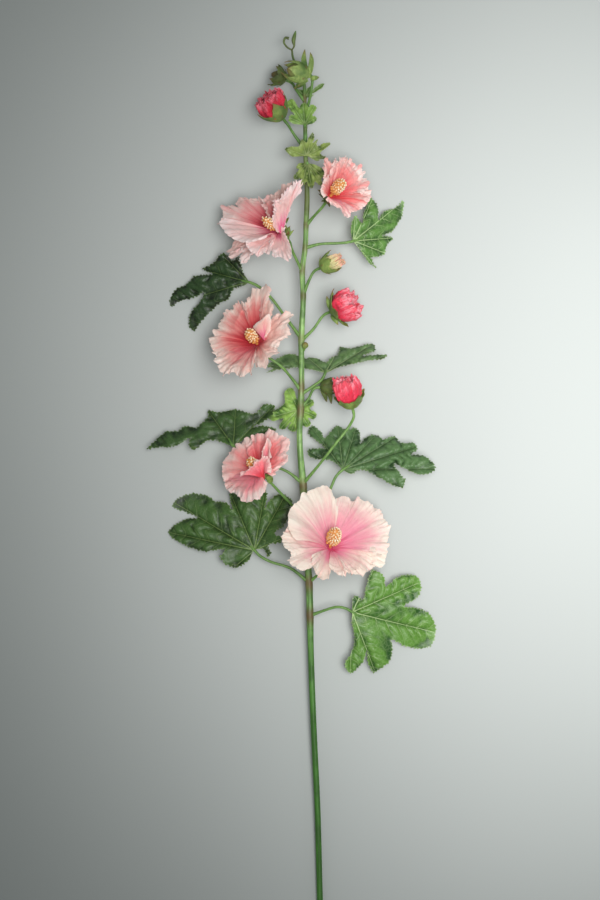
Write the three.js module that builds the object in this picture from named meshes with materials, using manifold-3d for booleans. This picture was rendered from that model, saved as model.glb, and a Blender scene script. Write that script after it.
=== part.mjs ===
// A cut stem of pink hollyhock, laid down on a flat surface with its flowers facing up.
// Millimetres, +Z up. The stem runs along +Y from its cut end, and the surface is z = 0.
// Places are written as [across, along, high]: across is measured from the middle of the
// flowering part, along from the cut end of the stem, and high from the surface.
import * as THREE from "three";
import { mergeVertices } from "three/addons/utils/BufferGeometryUtils.js";
import Module from "manifold-3d";

const wasm = await Module();
wasm.setup();

// The middle of the laid-down stem, seen from above, which is the part's origin
const MIDDLE = [-8, 476.5];

const BLADE = 0.8; // thickness of a leaf or sepal
const PETAL = 0.8; // thickness of a petal
const GAP = 0.35; // clearance between pieces that touch
const FLAT_BLEND = 6; // height over which a blade eases onto the surface
const DEG = Math.PI / 180;

// Main stem: [across, along, high, radius]
const STEM = [
  [22.5, 0, 2.87, 3.3],
  [21, 42, 5, 3.2],
  [18.4, 137, 9, 3.2],
  [14.6, 217, 12.5, 3.2],
  [11.3, 304, 16, 3.3],
  [10.5, 340, 17.5, 3.6],
  [9.5, 375, 19, 3.6],
  [6.3, 420, 21, 3.3],
  [3.2, 479, 24, 3.7],
  [0.2, 512, 25.4, 3.2],
  [-0.5, 535, 26.3, 3.1],
  [0.8, 560, 27.3, 3.4],
  [1.6, 590, 28.5, 2.9],
  [1.5, 631, 30, 3.1],
  [3.4, 676, 31.3, 2.8],
  [2.4, 703, 32, 2.8],
  [5.4, 726, 32.7, 2.6],
  [6.4, 750, 33.5, 2.6],
  [7.4, 782, 34.3, 2.4],
  [5.6, 829, 35, 2.2],
  [5.4, 857, 35.3, 2],
  [4.8, 882, 35.5, 1.9],
  [4, 900, 35.6, 1.6],
  [0, 913, 35.6, 1.3],
  [-6.8, 923, 35.4, 1.1],
  [-8.6, 933.6, 35.2, 0.9],
];
// The growing tip: a curled shoot and a furled leaflet on the fork
const TIP_CURL = [
  [-8.6, 932.6, 35.2, 0.8],
  [-13.5, 935.6, 35.6, 0.9],
  [-16.8, 940.6, 36, 0.9],
  [-15.2, 945.2, 36.2, 1.2],
  [-11.6, 944.6, 36, 1.4],
];
const TIP_LEAFLET = [
  [-8.6, 932.6, 35.2, 0.8],
  [-6.2, 936.6, 35.2, 0.9],
  [-6.8, 942.6, 35.4, 1.9],
  [-5.4, 948.6, 35.6, 1.5],
  [-4.6, 952.4, 35.6, 0.5],
];

// Large leaves. base is where the stalk meets the blade, and stalk is the route to it from the
// stem. slope is how much the blade climbs for each millimetre across and along; rise and droop
// arch it along its radii. tips are the ends of the ribs, outline is the blade's edge as seen from
// above, and heart is a point inside it that sees the whole edge.
const LEAVES = [
  {
    name: "leaf_low_right",
    stalk: [[10.5, 340, 17.5], [25, 345.5, 20], [39, 349.5, 22], [49, 347.5, 21.5]],
    base: [55, 344, 20.5], heart: [70, 336], slope: [-0.21, 0.08], rise: 0.12, droop: 0.0019,
    tips: [[77, 388], [125, 374], [143, 321], [79, 281], [53, 280]],
    outline: [
      [56.5, 361], [63, 359.5], [66.5, 358], [70, 373], [76, 388.5], [83, 386], [89, 380.5],
      [90, 371], [101, 379.5], [110, 382.5], [118, 383], [126, 378], [128, 368], [124, 358.5],
      [110, 350.5], [124, 347.5], [136, 342], [143, 331], [144, 321], [139, 306.5], [128, 304],
      [112, 306.5], [97, 314], [98, 303], [95, 292], [86, 284.5], [77.5, 279.5], [72, 290],
      [70, 303], [67, 292], [60, 284], [53, 278.5], [47, 290], [54, 301], [57.5, 318], [54.5, 332],
    ],
  },
  {
    name: "leaf_low_left",
    stalk: [[9.5, 375, 19], [-10, 390, 20], [-31, 397, 20], [-42, 403, 20]],
    base: [-48, 409, 19], heart: [-58, 420], slope: [0.14, -0.12], rise: 0.13, droop: 0.0021,
    tips: [[-31, 403], [-18, 422], [-16, 466], [-37, 471], [-73, 468], [-134, 459], [-138, 427],
      [-68, 392]],
    outline: [
      [-38, 410], [-33, 402], [-30.5, 406], [-33, 415], [-21, 417], [-18.5, 423], [-27, 427],
      [-16, 436], [-11, 451], [-9, 462], [-20, 468], [-31, 463], [-37, 452], [-35, 463],
      [-36, 472], [-46, 468], [-54, 460], [-64, 467], [-73, 469], [-74, 461], [-70, 450],
      [-78, 459], [-88, 460], [-100, 466.5], [-114, 468.5], [-128, 464], [-136, 455],
      [-124, 449.5], [-108, 443], [-119, 441.5], [-132, 435.5], [-139.5, 427], [-128, 417],
      [-113, 410.5], [-99, 407.5], [-79, 410], [-84, 402], [-78, 394], [-66, 391], [-54, 398.5],
    ],
  },
  {
    name: "leaf_mid_right",
    stalk: [[7.2, 411, 20.5], [20, 440, 24], [31, 471, 27], [38, 487, 28]],
    base: [45, 494, 28], heart: [60, 503], slope: [-0.02, -0.6], rise: 0.12, droop: 0.0013,
    tips: [[9, 513], [12, 539], [40, 540], [59, 537], [80, 530], [102, 529], [122, 518],
      [142, 495], [107, 477]],
    outline: [
      [33, 503.5], [22, 504.5], [11, 507], [8, 514], [20, 516.5], [27, 516], [16, 525.5],
      [8.5, 532], [13, 540], [22, 534], [26, 527], [31, 532], [40, 540.5], [48, 536],
      [60, 537.5], [64, 529], [64, 521], [70, 528], [80, 530.5], [88, 526], [100, 529],
      [107, 522], [121, 521.5], [123, 514], [117, 510], [131, 508], [142.5, 495], [128, 488.5],
      [112, 494], [99, 500], [105, 489], [110, 483], [106, 475], [94, 479.5], [80, 487],
      [64, 494], [54, 489.5],
    ],
  },
  {
    name: "leaf_mid_left",
    stalk: [[3.2, 479, 24], [-12, 491, 24], [-30, 499, 25], [-54, 511, 25]],
    base: [-70, 518.5, 24], heart: [-80, 535], slope: [0.12, -0.48], rise: 0.12, droop: 0.0011,
    tips: [[-26, 536], [-28, 561], [-68, 557], [-97, 556], [-160, 516], [-113, 516]],
    outline: [
      [-60, 525], [-48, 527.5], [-30, 532], [-25, 536], [-38, 540], [-50, 538.5], [-37, 545],
      [-29, 551], [-27, 561], [-38, 562.5], [-47, 553], [-59, 555], [-68, 557.5], [-84, 554.5],
      [-97, 556], [-97, 550], [-103, 543.5], [-109, 538.5], [-121, 539.5], [-130, 534.5],
      [-141, 534], [-152, 525], [-161, 516], [-147, 517.5], [-133, 518], [-115, 527],
      [-117, 521], [-112.5, 514.5], [-103, 520.5], [-95, 525], [-80, 522],
    ],
  },
  {
    name: "leaf_arched",
    stalk: [[1.5, 573, 27.8], [16, 583, 29], [23, 588.5, 30]],
    base: [26.5, 595.5, 30.5], heart: [27, 602], slope: [0.07, -1.0], rise: 0.14, droop: 0.0009,
    tips: [[-34, 597], [-32, 603], [8, 612], [42, 623], [76, 626], [91, 613]],
    outline: [
      [17, 597.5], [6, 600], [-8, 600.5], [-22, 598.8], [-35, 595.8], [-28, 600.5], [-35, 602.5],
      [-28, 608], [-17, 614], [-6, 615.5], [3, 611], [12, 612], [20, 610], [27, 607], [33, 611.5],
      [40, 615.5], [43, 623.5], [53, 621.5], [64, 624.5], [77, 626.5], [79, 619.5], [66, 613.5],
      [79, 614.5], [91.5, 614], [88, 610.5], [76, 609], [62, 606], [47, 603], [35, 599],
    ],
  },
  {
    name: "leaf_high_left",
    stalk: [[1.5, 631, 30], [-16, 655, 28], [-32, 676, 27], [-45, 687, 27]],
    base: [-54.5, 691, 26], heart: [-70, 694], slope: [0.335, 0.03], rise: 0.1, droop: 0.0016,
    tips: [[-65, 717], [-82, 720], [-103, 705], [-137, 668], [-114, 642]],
    outline: [
      [-59, 700], [-62, 709], [-65, 718], [-71, 713], [-76, 719.5], [-83, 720.5], [-92, 711],
      [-103, 706], [-92, 700.5], [-101, 699.5], [-112, 698], [-119, 690.5], [-131, 685],
      [-138, 674], [-137, 666.5], [-126, 673], [-113, 675], [-101, 680.5], [-105, 671],
      [-112, 664.5], [-117, 655], [-117, 645], [-112.5, 640.5], [-105, 650], [-94, 660.5],
      [-84, 669.5], [-76, 673], [-69, 684], [-60, 687],
    ],
  },
  {
    name: "leaf_high_right",
    stalk: [[5.4, 726, 32.7], [21, 730, 33], [40, 731, 32], [50, 732, 31]],
    base: [56, 733.5, 30], heart: [68, 737], slope: [-0.6, 0], rise: 0.08, droop: 0.0016,
    tips: [[57, 759], [76, 778], [109, 778], [98, 739], [91, 722], [79, 707]],
    outline: [
      [53.5, 741], [54.5, 754], [58, 760], [65, 752.5], [68, 767], [75, 779], [81.5, 772],
      [83, 756.5], [88, 766], [99, 770], [109.5, 778.5], [109, 765], [103, 753.5], [97, 745.5],
      [86, 740.5], [97, 740.5], [97, 736.5], [92, 731.5], [89, 721.5], [80, 717.5],
      [75, 717], [80, 707], [71, 713], [65, 722], [59, 729.5],
    ],
  },
];

// Small young leaves and bracts close to the stem. Each lobe is [direction, length]. notch is how
// deep the bays between the lobes reach, and blunt how far the lobes' shoulders do, as shares of
// the lobes' length.
const YOUNG_LEAVES = [
  {
    name: "young_leaf_mid",
    stalk: [[0.8, 560, 27.3], [0, 558, 22.5]],
    base: [-1.5, 557, 20.5], slope: [0.06, -0.1], rise: 0.15, droop: 0.01, notch: 0.66, blunt: 0.93,
    lobes: [[-59, 21], [-22, 20], [30, 18], [78, 16], [117, 25], [196, 32], [226, 28], [252, 24]],
  },
  {
    name: "young_leaf_high",
    stalk: [[5.4, 852, 35.3], [5.2, 853, 38]],
    base: [5, 854, 39.5], slope: [0, 0.12], rise: 0.3, droop: 0.01, notch: 0.74, blunt: 0.94,
    lobes: [[30, 14], [66, 22], [92, 23], [116, 30], [141, 18]],
  },
  {
    name: "bract_star",
    stalk: [[5.8, 827, 35], [6.6, 824, 38]],
    base: [7, 821, 40], slope: [0, 0.14], rise: 0.3, droop: 0.008, notch: 0.72, blunt: 0.78,
    lobes: [[-4, 20], [28, 28], [56, 21], [75, 25], [107, 18], [162, 24]],
  },
  {
    name: "bract_hanging",
    stalk: [[7, 815, 34.8], [7.4, 814, 37.6]],
    base: [7.8, 814, 39], slope: [0, -0.1], rise: 0.2, droop: 0.006, notch: 0.8, blunt: 0.93,
    lobes: [[205, 13], [231, 22], [256, 25], [279, 27], [302, 28], [319, 22]],
  },
  {
    name: "bract_top",
    stalk: [[4.8, 882, 35.5], [6, 883, 33]],
    base: [6, 884, 32], slope: [0.05, 0], rise: 0.1, droop: 0.004, notch: 0.6, blunt: 0.8,
    lobes: [[14, 9], [36, 24], [62, 13], [136, 12]],
  },
];

// Open flowers. throat is the bottom of the cup and faces the way it looks. Each petal is
// [across, along, cup, lift]: across and along are where the middle of its edge comes, cup how far
// that is raised above the flower's own plane, and lift its angle at the root. A fifth number is
// the half width in degrees of a petal that doesn't reach its neighbours. folded is a petal that
// stands up over the throat, and girth how stout the column is.
const FLOWERS = [
  {
    name: "flower_low", throat: [31, 413, 56], faces: [0.3, 0.5, 0.81], column: 27, girth: 1.45,
    stalk: [[9.5, 375, 19], [18, 383, 24], [24, 392, 33]], sepals: [17, 30],
    petals: [[-3, 466, 18, 46], [84, 449, 22, 50], [76, 389, 18, 46], [25, 378, 10, 42],
      [-19, 405, 10, 42]],
  },
  {
    name: "flower_left_low", throat: [-41, 492, 54], faces: [-0.55, 0.6, 0.58], column: 22,
    stalk: [[4.8, 441, 22], [-7, 455, 25], [-20, 469, 33]], sepals: [14, 34],
    petals: [[-78, 503, 16, 52], [-44, 536, 18, 56], [-12, 519, 16, 56], [-58, 460, 7, 44]],
    folded: [-46, 500, 28, 72, 40],
  },
  {
    name: "flower_left_mid", throat: [-44, 624, 58], faces: [-0.4, 0.55, 0.73], column: 25,
    stalk: [[0.8, 577, 28.2], [-9, 590, 33], [-20, 602, 42]], sepals: [16, 32],
    petals: [[-80, 663, 17, 48], [-43, 688, 20, 50, 27], [-9, 644, 22, 58, 30], [-44, 599, 18, 50],
      [-90, 607, 16, 46]],
    folded: [-38, 649, 27, 82, 26],
  },
  {
    name: "flower_left_high", throat: [-22, 740, 62], faces: [-0.6, 0.48, 0.64], column: 27,
    stalk: [[2.4, 701, 32], [-2, 710, 36], [-8, 722, 44]], sepals: [15, 32],
    petals: [[-64, 777, 26, 58], [2, 796, 22, 52, 21], [-17, 714, 6, 42, 27],
      [-58, 717, 12, 46, 44], [-82, 748, 27, 60]],
  },
  {
    name: "flower_right_high", throat: [31, 777, 56], faces: [0.45, 0.55, 0.7], column: 23, girth: 1.25,
    stalk: [[6.4, 749, 33.5], [14, 758, 37], [21, 765, 44]], sepals: [14, 40],
    petals: [[44, 823, 22, 58], [73, 792, 20, 56], [51, 759, 18, 56], [25, 784, 27, 66],
      [22, 813, 26, 62]],
  },
];

// Buds. base is where the calyx meets its stalk. petals is "ruffled" for a bud that shows colour,
// "tip" for one that just opens, and "none" for a green one. sepals are their length and their
// angles at the root and the tip, lifts the angles of the petals, and neck how far below the base
// the stalk starts to follow the bud's axis.
const BUDS = [
  {
    name: "bud_red_low", base: [54.5, 557, 44], faces: [-0.25, 0.95, 0.2], size: 1.2,
    petals: "ruffled", lifts: [46, 100],
    stalk: [[3.2, 479, 24], [19, 498, 38], [37, 521, 46], [51, 539, 46]],
  },
  {
    name: "bud_pink_mid", base: [31, 658, 38], faces: [0.86, 0.34, 0.38], size: 1.15,
    petals: "ruffled", lifts: [30, 108], sepals: [16, 24, 52],
    stalk: [[1.5, 629, 30], [14, 641, 34]],
  },
  {
    name: "bud_red_high", base: [-17, 859, 40], faces: [-0.62, 0.68, 0.38], size: 1.15,
    petals: "ruffled", lifts: [36, 106], sepals: [17, 36, 64],
    stalk: [[5.6, 828, 35], [-7, 845, 39]],
  },
  {
    name: "bud_green_right", base: [20.5, 704, 38], faces: [0.86, 0.4, 0.3], size: 1.05,
    petals: "tip", lifts: [66, 112], sepals: [19, 66, 96],
    stalk: [[3.4, 677, 31.3], [10, 693, 36]],
  },
  {
    name: "bud_green_low", base: [20.5, 580, 25], faces: [0.97, 0.16, 0.02], size: 0.95,
    petals: "none", sepals: [15, 70, 96], stalk: [[0.9, 558, 27.2], [9, 568.5, 27.5]],
  },
  {
    name: "bud_green_top", base: [9.5, 903.5, 50], faces: [-0.93, 0.22, 0.3], size: 1.35,
    petals: "none", sepals: [20, 68, 98], neck: 2.2,
    stalk: [[5.2, 866, 35.4], [9.5, 878, 42], [12.2, 892, 47.5]],
  },
  {
    name: "bud_brown_top", base: [-14, 902, 28], faces: [-0.9, 0.42, 0.02], size: 0.95,
    petals: "none", sepals: [14, 50, 72], stalk: [[4.9, 879, 35.5], [-4.5, 892, 34.5]],
  },
  {
    name: "bud_round", base: [4.4, 621, 33.4], faces: [0.2, 0.6, 0.77], size: 0.45, petals: "none",
    stalk: [[1.6, 617, 29.6]],
  },
];

const STALK_RADIUS = 1.45;
const STEM_SIDES = 6;
const STEM_STEPS = 38;
const STALK_SIDES = 5;
const PETAL_ROOT = 3; // distance of a petal's root from the flower's axis
const PETAL_GRID = [3, 6]; // steps along and across
const BUD_PETAL_GRID = [2, 4];
const BUD_SEAT = 4.8; // height of a bud's petal roots over the base of its calyx
const WAVES = 8; // ripples round a whole flower
const RIPPLE = 3; // their height at the edge of a petal 60 long
const OVERLAP = 1.8; // how far a petal's one side rises over its neighbour and the other dips
const LOBE_EDGE = { 2: [1, 0.22], 3: [1, 0.34, 0.34] };
const PLEAT = 3.4; // how far a leaf bulges between its ribs
const PLEAT_REACH = 9; // distance from a rib at which it has mostly done so

const COLOURS = {
  stem: 0x5d8a45,
  leaf: 0x2f5a2c,
  young: 0x86a85c,
  calyx: 0x7d9a4e,
  petal: 0xf3b7b4,
  bud: 0xe4566b,
  column: 0xefd79a,
};

const vec = (p) => new THREE.Vector3(p[0], p[1], p[2]);

// Eases a up to b from below, with b itself reached k before they meet
function softMax(a, b, k) {
  const near = Math.max(k - Math.abs(a - b), 0) / k;
  return Math.max(a, b) + (near * near * k) / 4;
}

// A fixed number from 0 to 1 for a seed, so that each piece is waved its own way
function chance(seed) {
  const x = Math.sin(seed * 12.9898 + 4.1414) * 43758.5453;
  return x - Math.floor(x);
}

function nameSeed(name) {
  return [...name].reduce((sum, letter) => sum + letter.charCodeAt(0), 0);
}

function toGeometry(points, triangles) {
  const flat = new Float32Array(points.flatMap((p) => [p.x, p.y, p.z]));
  return new THREE.BufferGeometry()
    .setAttribute("position", new THREE.BufferAttribute(flat, 3))
    .setIndex(triangles.flat());
}

function toSolid(geometry) {
  const bare = geometry.clone();
  bare.deleteAttribute("normal");
  bare.deleteAttribute("uv");
  const merged = mergeVertices(bare, 1e-4);
  const found = merged.index.array;
  const kept = [];
  for (let i = 0; i < found.length; i += 3) {
    const [a, b, c] = [found[i], found[i + 1], found[i + 2]];
    if (a !== b && b !== c && a !== c) kept.push(a, b, c);
  }
  const solid = new wasm.Manifold(
    new wasm.Mesh({
      numProp: 3,
      vertProperties: merged.attributes.position.array,
      triVerts: new Uint32Array(kept),
    }),
  );
  return solid;
}

// The solid as a geometry, with its largest body only: scraps go and sealed hollows fill
function fromSolid(solid) {
  const body = solid.decompose().sort((a, b) => b.volume() - a.volume())[0];
  const mesh = body.getMesh();
  const points = new Float32Array(mesh.numVert * 3);
  for (let i = 0; i < mesh.numVert; i++) {
    points.set(mesh.vertProperties.subarray(i * mesh.numProp, i * mesh.numProp + 3), i * 3);
  }
  return new THREE.BufferGeometry()
    .setAttribute("position", new THREE.BufferAttribute(points, 3))
    .setIndex(new THREE.BufferAttribute(mesh.triVerts, 1));
}

function join(geometries) {
  return geometries.map(toSolid).reduce((sum, next) => sum.add(next));
}

// Gives an open surface its thickness: both faces have the same triangles, and a rim closes them
function thicken(points, triangles, thickness) {
  const normals = points.map(() => new THREE.Vector3());
  for (const [a, b, c] of triangles) {
    const across = points[b].clone().sub(points[a]);
    const normal = across.cross(points[c].clone().sub(points[a]));
    [a, b, c].forEach((i) => normals[i].add(normal));
  }
  const top = points.map((p, i) => p.clone().addScaledVector(normals[i].normalize(), thickness / 2));
  const under = points.map((p, i) => p.clone().addScaledVector(normals[i], -thickness / 2));
  const n = points.length;
  const faces = [...triangles, ...triangles.map(([a, b, c]) => [a + n, c + n, b + n])];
  const edges = new Set(triangles.flatMap(([a, b, c]) => [`${a},${b}`, `${b},${c}`, `${c},${a}`]));
  for (const edge of edges) {
    const [a, b] = edge.split(",").map(Number);
    if (!edges.has(`${b},${a}`)) faces.push([b, a, a + n], [b, a + n, b + n]);
  }
  return toGeometry([...top, ...under], faces);
}

// A round tube through points [x, y, z, radius], closed at both ends
function tube(stations, sides, steps) {
  const line = new THREE.CatmullRomCurve3(stations.map(vec), false, "centripetal");
  const frames = line.computeFrenetFrames(steps, false);
  const points = [];
  const triangles = [];
  const radiusAt = (t) => {
    const place = t * (stations.length - 1);
    const i = Math.min(Math.floor(place), stations.length - 2);
    return THREE.MathUtils.lerp(stations[i][3], stations[i + 1][3], place - i);
  };
  for (let i = 0; i <= steps; i++) {
    const u = i / steps;
    const t = line.getUtoTmapping(u);
    const centre = line.getPoint(t);
    const radius = radiusAt(t);
    for (let j = 0; j < sides; j++) {
      const angle = (2 * Math.PI * j) / sides;
      points.push(
        centre.clone()
          .addScaledVector(frames.normals[i], radius * Math.cos(angle))
          .addScaledVector(frames.binormals[i], radius * Math.sin(angle)),
      );
    }
  }
  for (let i = 0; i < steps; i++) {
    for (let j = 0; j < sides; j++) {
      const a = i * sides + j;
      const b = i * sides + ((j + 1) % sides);
      triangles.push([a, b, a + sides], [b, b + sides, a + sides]);
    }
  }
  const last = steps * sides;
  for (let j = 1; j < sides - 1; j++) {
    triangles.push([0, j + 1, j], [last, last + j, last + j + 1]);
  }
  return toGeometry(points, triangles);
}

// A body turned about the flower's axis: rings of [height, radius], with bumps as a share
function turned(frame, rings, sides, bump = 0) {
  const points = [frame.at(0, 0, rings[0][0])];
  rings.forEach(([height, radius], i) => {
    for (let j = 0; j < sides; j++) {
      const angle = (2 * Math.PI * (j + (i % 2) / 2)) / sides;
      const swell = 1 + bump * ((i + j) % 2 ? 1 : -1);
      points.push(frame.at(radius * swell * Math.cos(angle), radius * swell * Math.sin(angle), height));
    }
  });
  points.push(frame.at(0, 0, rings[rings.length - 1][0]));
  const triangles = [];
  const last = points.length - 1;
  const start = (ring) => 1 + ring * sides;
  for (let j = 0; j < sides; j++) {
    const k = (j + 1) % sides;
    triangles.push([0, start(0) + k, start(0) + j]);
    triangles.push([last, start(rings.length - 1) + j, start(rings.length - 1) + k]);
    for (let i = 0; i < rings.length - 1; i++) {
      // every other ring is turned by half a side, so the zigzag leans the other way there
      const [a, b] = [start(i) + j, start(i) + k];
      const [c, d] = [start(i + 1) + j, start(i + 1) + k];
      if (i % 2) triangles.push([a, b, d], [a, d, c]);
      else triangles.push([a, b, c], [b, d, c]);
    }
  }
  return toGeometry(points, triangles);
}

// A frame that stands on a point and looks along faces, with its first axis to the right
function flowerFrame(origin, faces, seed, root = PETAL_ROOT) {
  const axis = vec(faces).normalize();
  const right = new THREE.Vector3(1, 0, 0).addScaledVector(axis, -axis.x);
  if (right.length() < 0.35) right.set(0, 0, 1).addScaledVector(axis, -axis.z);
  right.normalize();
  const up = axis.clone().cross(right);
  const start = vec(origin);
  return {
    seed,
    root,
    axis,
    right,
    up,
    at: (x, y, z) =>
      start.clone().addScaledVector(right, x).addScaledVector(up, y).addScaledVector(axis, z),
  };
}

function gridTriangles(rows, columns) {
  const triangles = [];
  for (let i = 0; i < rows; i++) {
    for (let j = 0; j < columns; j++) {
      const a = i * (columns + 1) + j;
      const b = a + columns + 1;
      if ((i + j) % 2) triangles.push([a, b, b + 1], [a, b + 1, a + 1]);
      else triangles.push([a, b, a + 1], [a + 1, b, b + 1]);
    }
  }
  return triangles;
}

// The height and radius reached after running along a petal that bends evenly from root to tip
function petalRun(share, length, rootLift, tipLift) {
  const bend = (tipLift - rootLift) * DEG;
  const lift = rootLift * DEG + bend * share;
  return {
    lift,
    radius: (length * (Math.sin(lift) - Math.sin(rootLift * DEG))) / bend,
    height: (length * (Math.cos(rootLift * DEG) - Math.cos(lift))) / bend,
  };
}

// A petal's turn, length and lifts from where the middle of its edge is seen
function petalFromTip(flower, frame, [across, along, cup, rootLift, half = 90]) {
  const { axis } = frame;
  const dx = across - flower.throat[0];
  const dy = along - flower.throat[1];
  const tip = new THREE.Vector3(dx, dy, (cup - axis.x * dx - axis.y * dy) / axis.z);
  const turn = Math.atan2(tip.dot(frame.up), tip.dot(frame.right)) / DEG;
  const reach = Math.sqrt(tip.lengthSq() - cup * cup) - PETAL_ROOT;
  const chord = Math.hypot(reach, cup);
  const tipLift = (2 * Math.atan2(cup, reach)) / DEG - rootLift;
  const halfBend = ((tipLift - rootLift) * DEG) / 2;
  return { turn, length: (chord * halfBend) / Math.sin(halfBend), rootLift, tipLift, half };
}

// A point on a petal: share runs from its root to its edge, side from -1 to 1 across it, and turn
// is its direction in degrees
function petalPoint(frame, petal, share, side, turn) {
  const { length, rootLift, tipLift } = petal;
  const edge = 1 - 0.09 * side ** 2 - 0.15 * side ** 6
    + 0.03 * Math.sin(5 * side + 6 * chance(petal.seed));
  const { lift, radius, height } = petalRun(share * edge, length, rootLift, tipLift);
  const angle = turn * DEG;
  const wave = Math.sin(WAVES * angle + 2 * Math.PI * chance(frame.seed));
  const ripple = RIPPLE * (length / 60) * share ** 1.7 * wave;
  const step = OVERLAP * side * THREE.MathUtils.smoothstep(share, 0.05, 0.4);
  const off = ripple + step * Math.min(1, length / 30);
  const reach = frame.root + radius - Math.sin(lift) * off;
  const p = frame.at(reach * Math.cos(angle), reach * Math.sin(angle), height + Math.cos(lift) * off);
  p.z = softMax(p.z, PETAL / 2, FLAT_BLEND);
  return p;
}

// The ring of petals. Each reaches as far round as the middle between it and its neighbour, where
// the two are alike but for a step, so that one lies over the other. They share a ring of roots.
function corolla(frame, petals, [rows, columns]) {
  const ring = [...petals].sort((a, b) => a.turn - b.turn);
  const count = ring.length;
  const neighbour = (i, way) => {
    const other = ring[(i + way + count) % count];
    const full = 360 * ((i + way < 0 ? -1 : 0) + (i + way >= count ? 1 : 0));
    return { ...other, turn: other.turn + full };
  };
  const petalAt = (i, share, side) => {
    const own = ring[i];
    const other = neighbour(i, side < 0 ? -1 : 1);
    const mix = 0.5 * side ** 2;
    const blend = (key) => THREE.MathUtils.lerp(own[key], other[key], mix);
    const sector = Math.abs(other.turn - own.turn) / 2;
    const opened = THREE.MathUtils.smoothstep(share, 0, 0.6);
    const half = THREE.MathUtils.lerp(sector, Math.min(sector + 3, own.half), opened);
    const mixed = { length: blend("length"), rootLift: blend("rootLift"), tipLift: blend("tipLift") };
    return petalPoint(frame, { ...mixed, seed: frame.seed + i }, share, side, own.turn + side * half);
  };
  const points = [];
  const around = count * columns;
  for (let j = 0; j < around; j++) {
    const root = petalAt(Math.floor(j / columns), 0, (2 * (j % columns)) / columns - 1);
    points.push(frame.at(0, 0, 0).lerp(root, 0.18));
  }
  for (let j = 0; j < around; j++) {
    points.push(petalAt(Math.floor(j / columns), 0, (2 * (j % columns)) / columns - 1));
  }
  const triangles = [];
  const quad = (a, b, c, d) => triangles.push([a, b, c], [c, b, d]);
  for (let j = 0; j < around; j++) {
    const k = (j + 1) % around;
    quad(j, around + j, k, around + k);
  }
  for (let i = 0; i < count; i++) {
    const start = points.length;
    const at = (row, j) => row ? start + (row - 1) * (columns + 1) + j : around + ((i * columns + j) % around);
    for (let row = 1; row <= rows; row++) {
      for (let j = 0; j <= columns; j++) points.push(petalAt(i, row / rows, (2 * j) / columns - 1));
    }
    for (let row = 0; row < rows; row++) {
      for (let j = 0; j < columns; j++) quad(at(row, j), at(row + 1, j), at(row, j + 1), at(row + 1, j + 1));
    }
  }
  return thicken(points, triangles, PETAL);
}

// A petal that stands by itself
function petalBlade(frame, petal, half, [rows, columns]) {
  const points = [];
  for (let i = 0; i <= rows; i++) {
    for (let j = 0; j <= columns; j++) {
      const side = (2 * j) / columns - 1;
      const spread = 0.6 + 0.4 * THREE.MathUtils.smoothstep(i / rows, 0, 0.5);
      points.push(petalPoint(frame, petal, i / rows, side, petal.turn + half * spread * side));
    }
  }
  return thicken(points, gridTriangles(rows, columns), PETAL);
}

// A calyx: a cup of [height, radius] rings that ends in five pointed lobes. points is the number
// of columns for each lobe, whose lengths as shares of the longest are in LOBE_EDGE.
function calyxCup(frame, rings, lobe, points) {
  const columns = 5 * points;
  const [rimHeight, rimRadius] = rings[rings.length - 1];
  const surface = [];
  const addRing = (radiusAt, heightAt) => {
    for (let j = 0; j < columns; j++) {
      const angle = (2 * Math.PI * j) / columns + lobe.turn * DEG;
      const [radius, height] = [radiusAt(j), heightAt(j)];
      const p = frame.at(radius * Math.cos(angle), radius * Math.sin(angle), height);
      p.z = softMax(p.z, BLADE / 2, FLAT_BLEND);
      surface.push(p);
    }
  };
  rings.forEach(([height, radius]) => addRing(() => radius, () => height));
  const edge = LOBE_EDGE[points];
  for (const share of [0.5, 1]) {
    const run = (j) => {
      const stretch = 1 + 0.2 * (chance(frame.seed + Math.round(j / points) % 5) - 0.5);
      const reach = share * edge[j % points] * stretch;
      return petalRun(reach, lobe.length, lobe.root, lobe.tip);
    };
    addRing((j) => rimRadius + run(j).radius, (j) => rimHeight + run(j).height);
  }
  const triangles = [];
  for (let i = 0; i < rings.length + 1; i++) {
    for (let j = 0; j < columns; j++) {
      const [a, b] = [i * columns + j, i * columns + ((j + 1) % columns)];
      triangles.push([a, b, a + columns], [b, b + columns, a + columns]);
    }
  }
  return thicken(surface, triangles, BLADE);
}

// The stalk of a flower or a leaf, thicker where it leaves the stem
function stalkTube(route, steps) {
  const stations = route.map((p, i) => [...p, i ? STALK_RADIUS : STALK_RADIUS * 1.35]);
  return tube(stations, STALK_SIDES, steps);
}

// The stem with GAP round it, which is cut from whatever grows on it
const stemRoom = toSolid(tube(STEM.map(([x, y, z, r]) => [x, y, z, r + GAP]), STEM_SIDES, STEM_STEPS));

function piece(name, solid, colour, roughness) {
  const material = new THREE.MeshStandardMaterial({ color: colour, roughness, metalness: 0 });
  const mesh = new THREE.Mesh(fromSolid(solid), material);
  mesh.name = name;
  return mesh;
}

function mainStem() {
  const parts = [tube(STEM, STEM_SIDES, STEM_STEPS), tube(TIP_CURL, 5, 8), tube(TIP_LEAFLET, 5, 6)];
  return piece("main_stem", join(parts), COLOURS.stem, 0.6);
}

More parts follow.
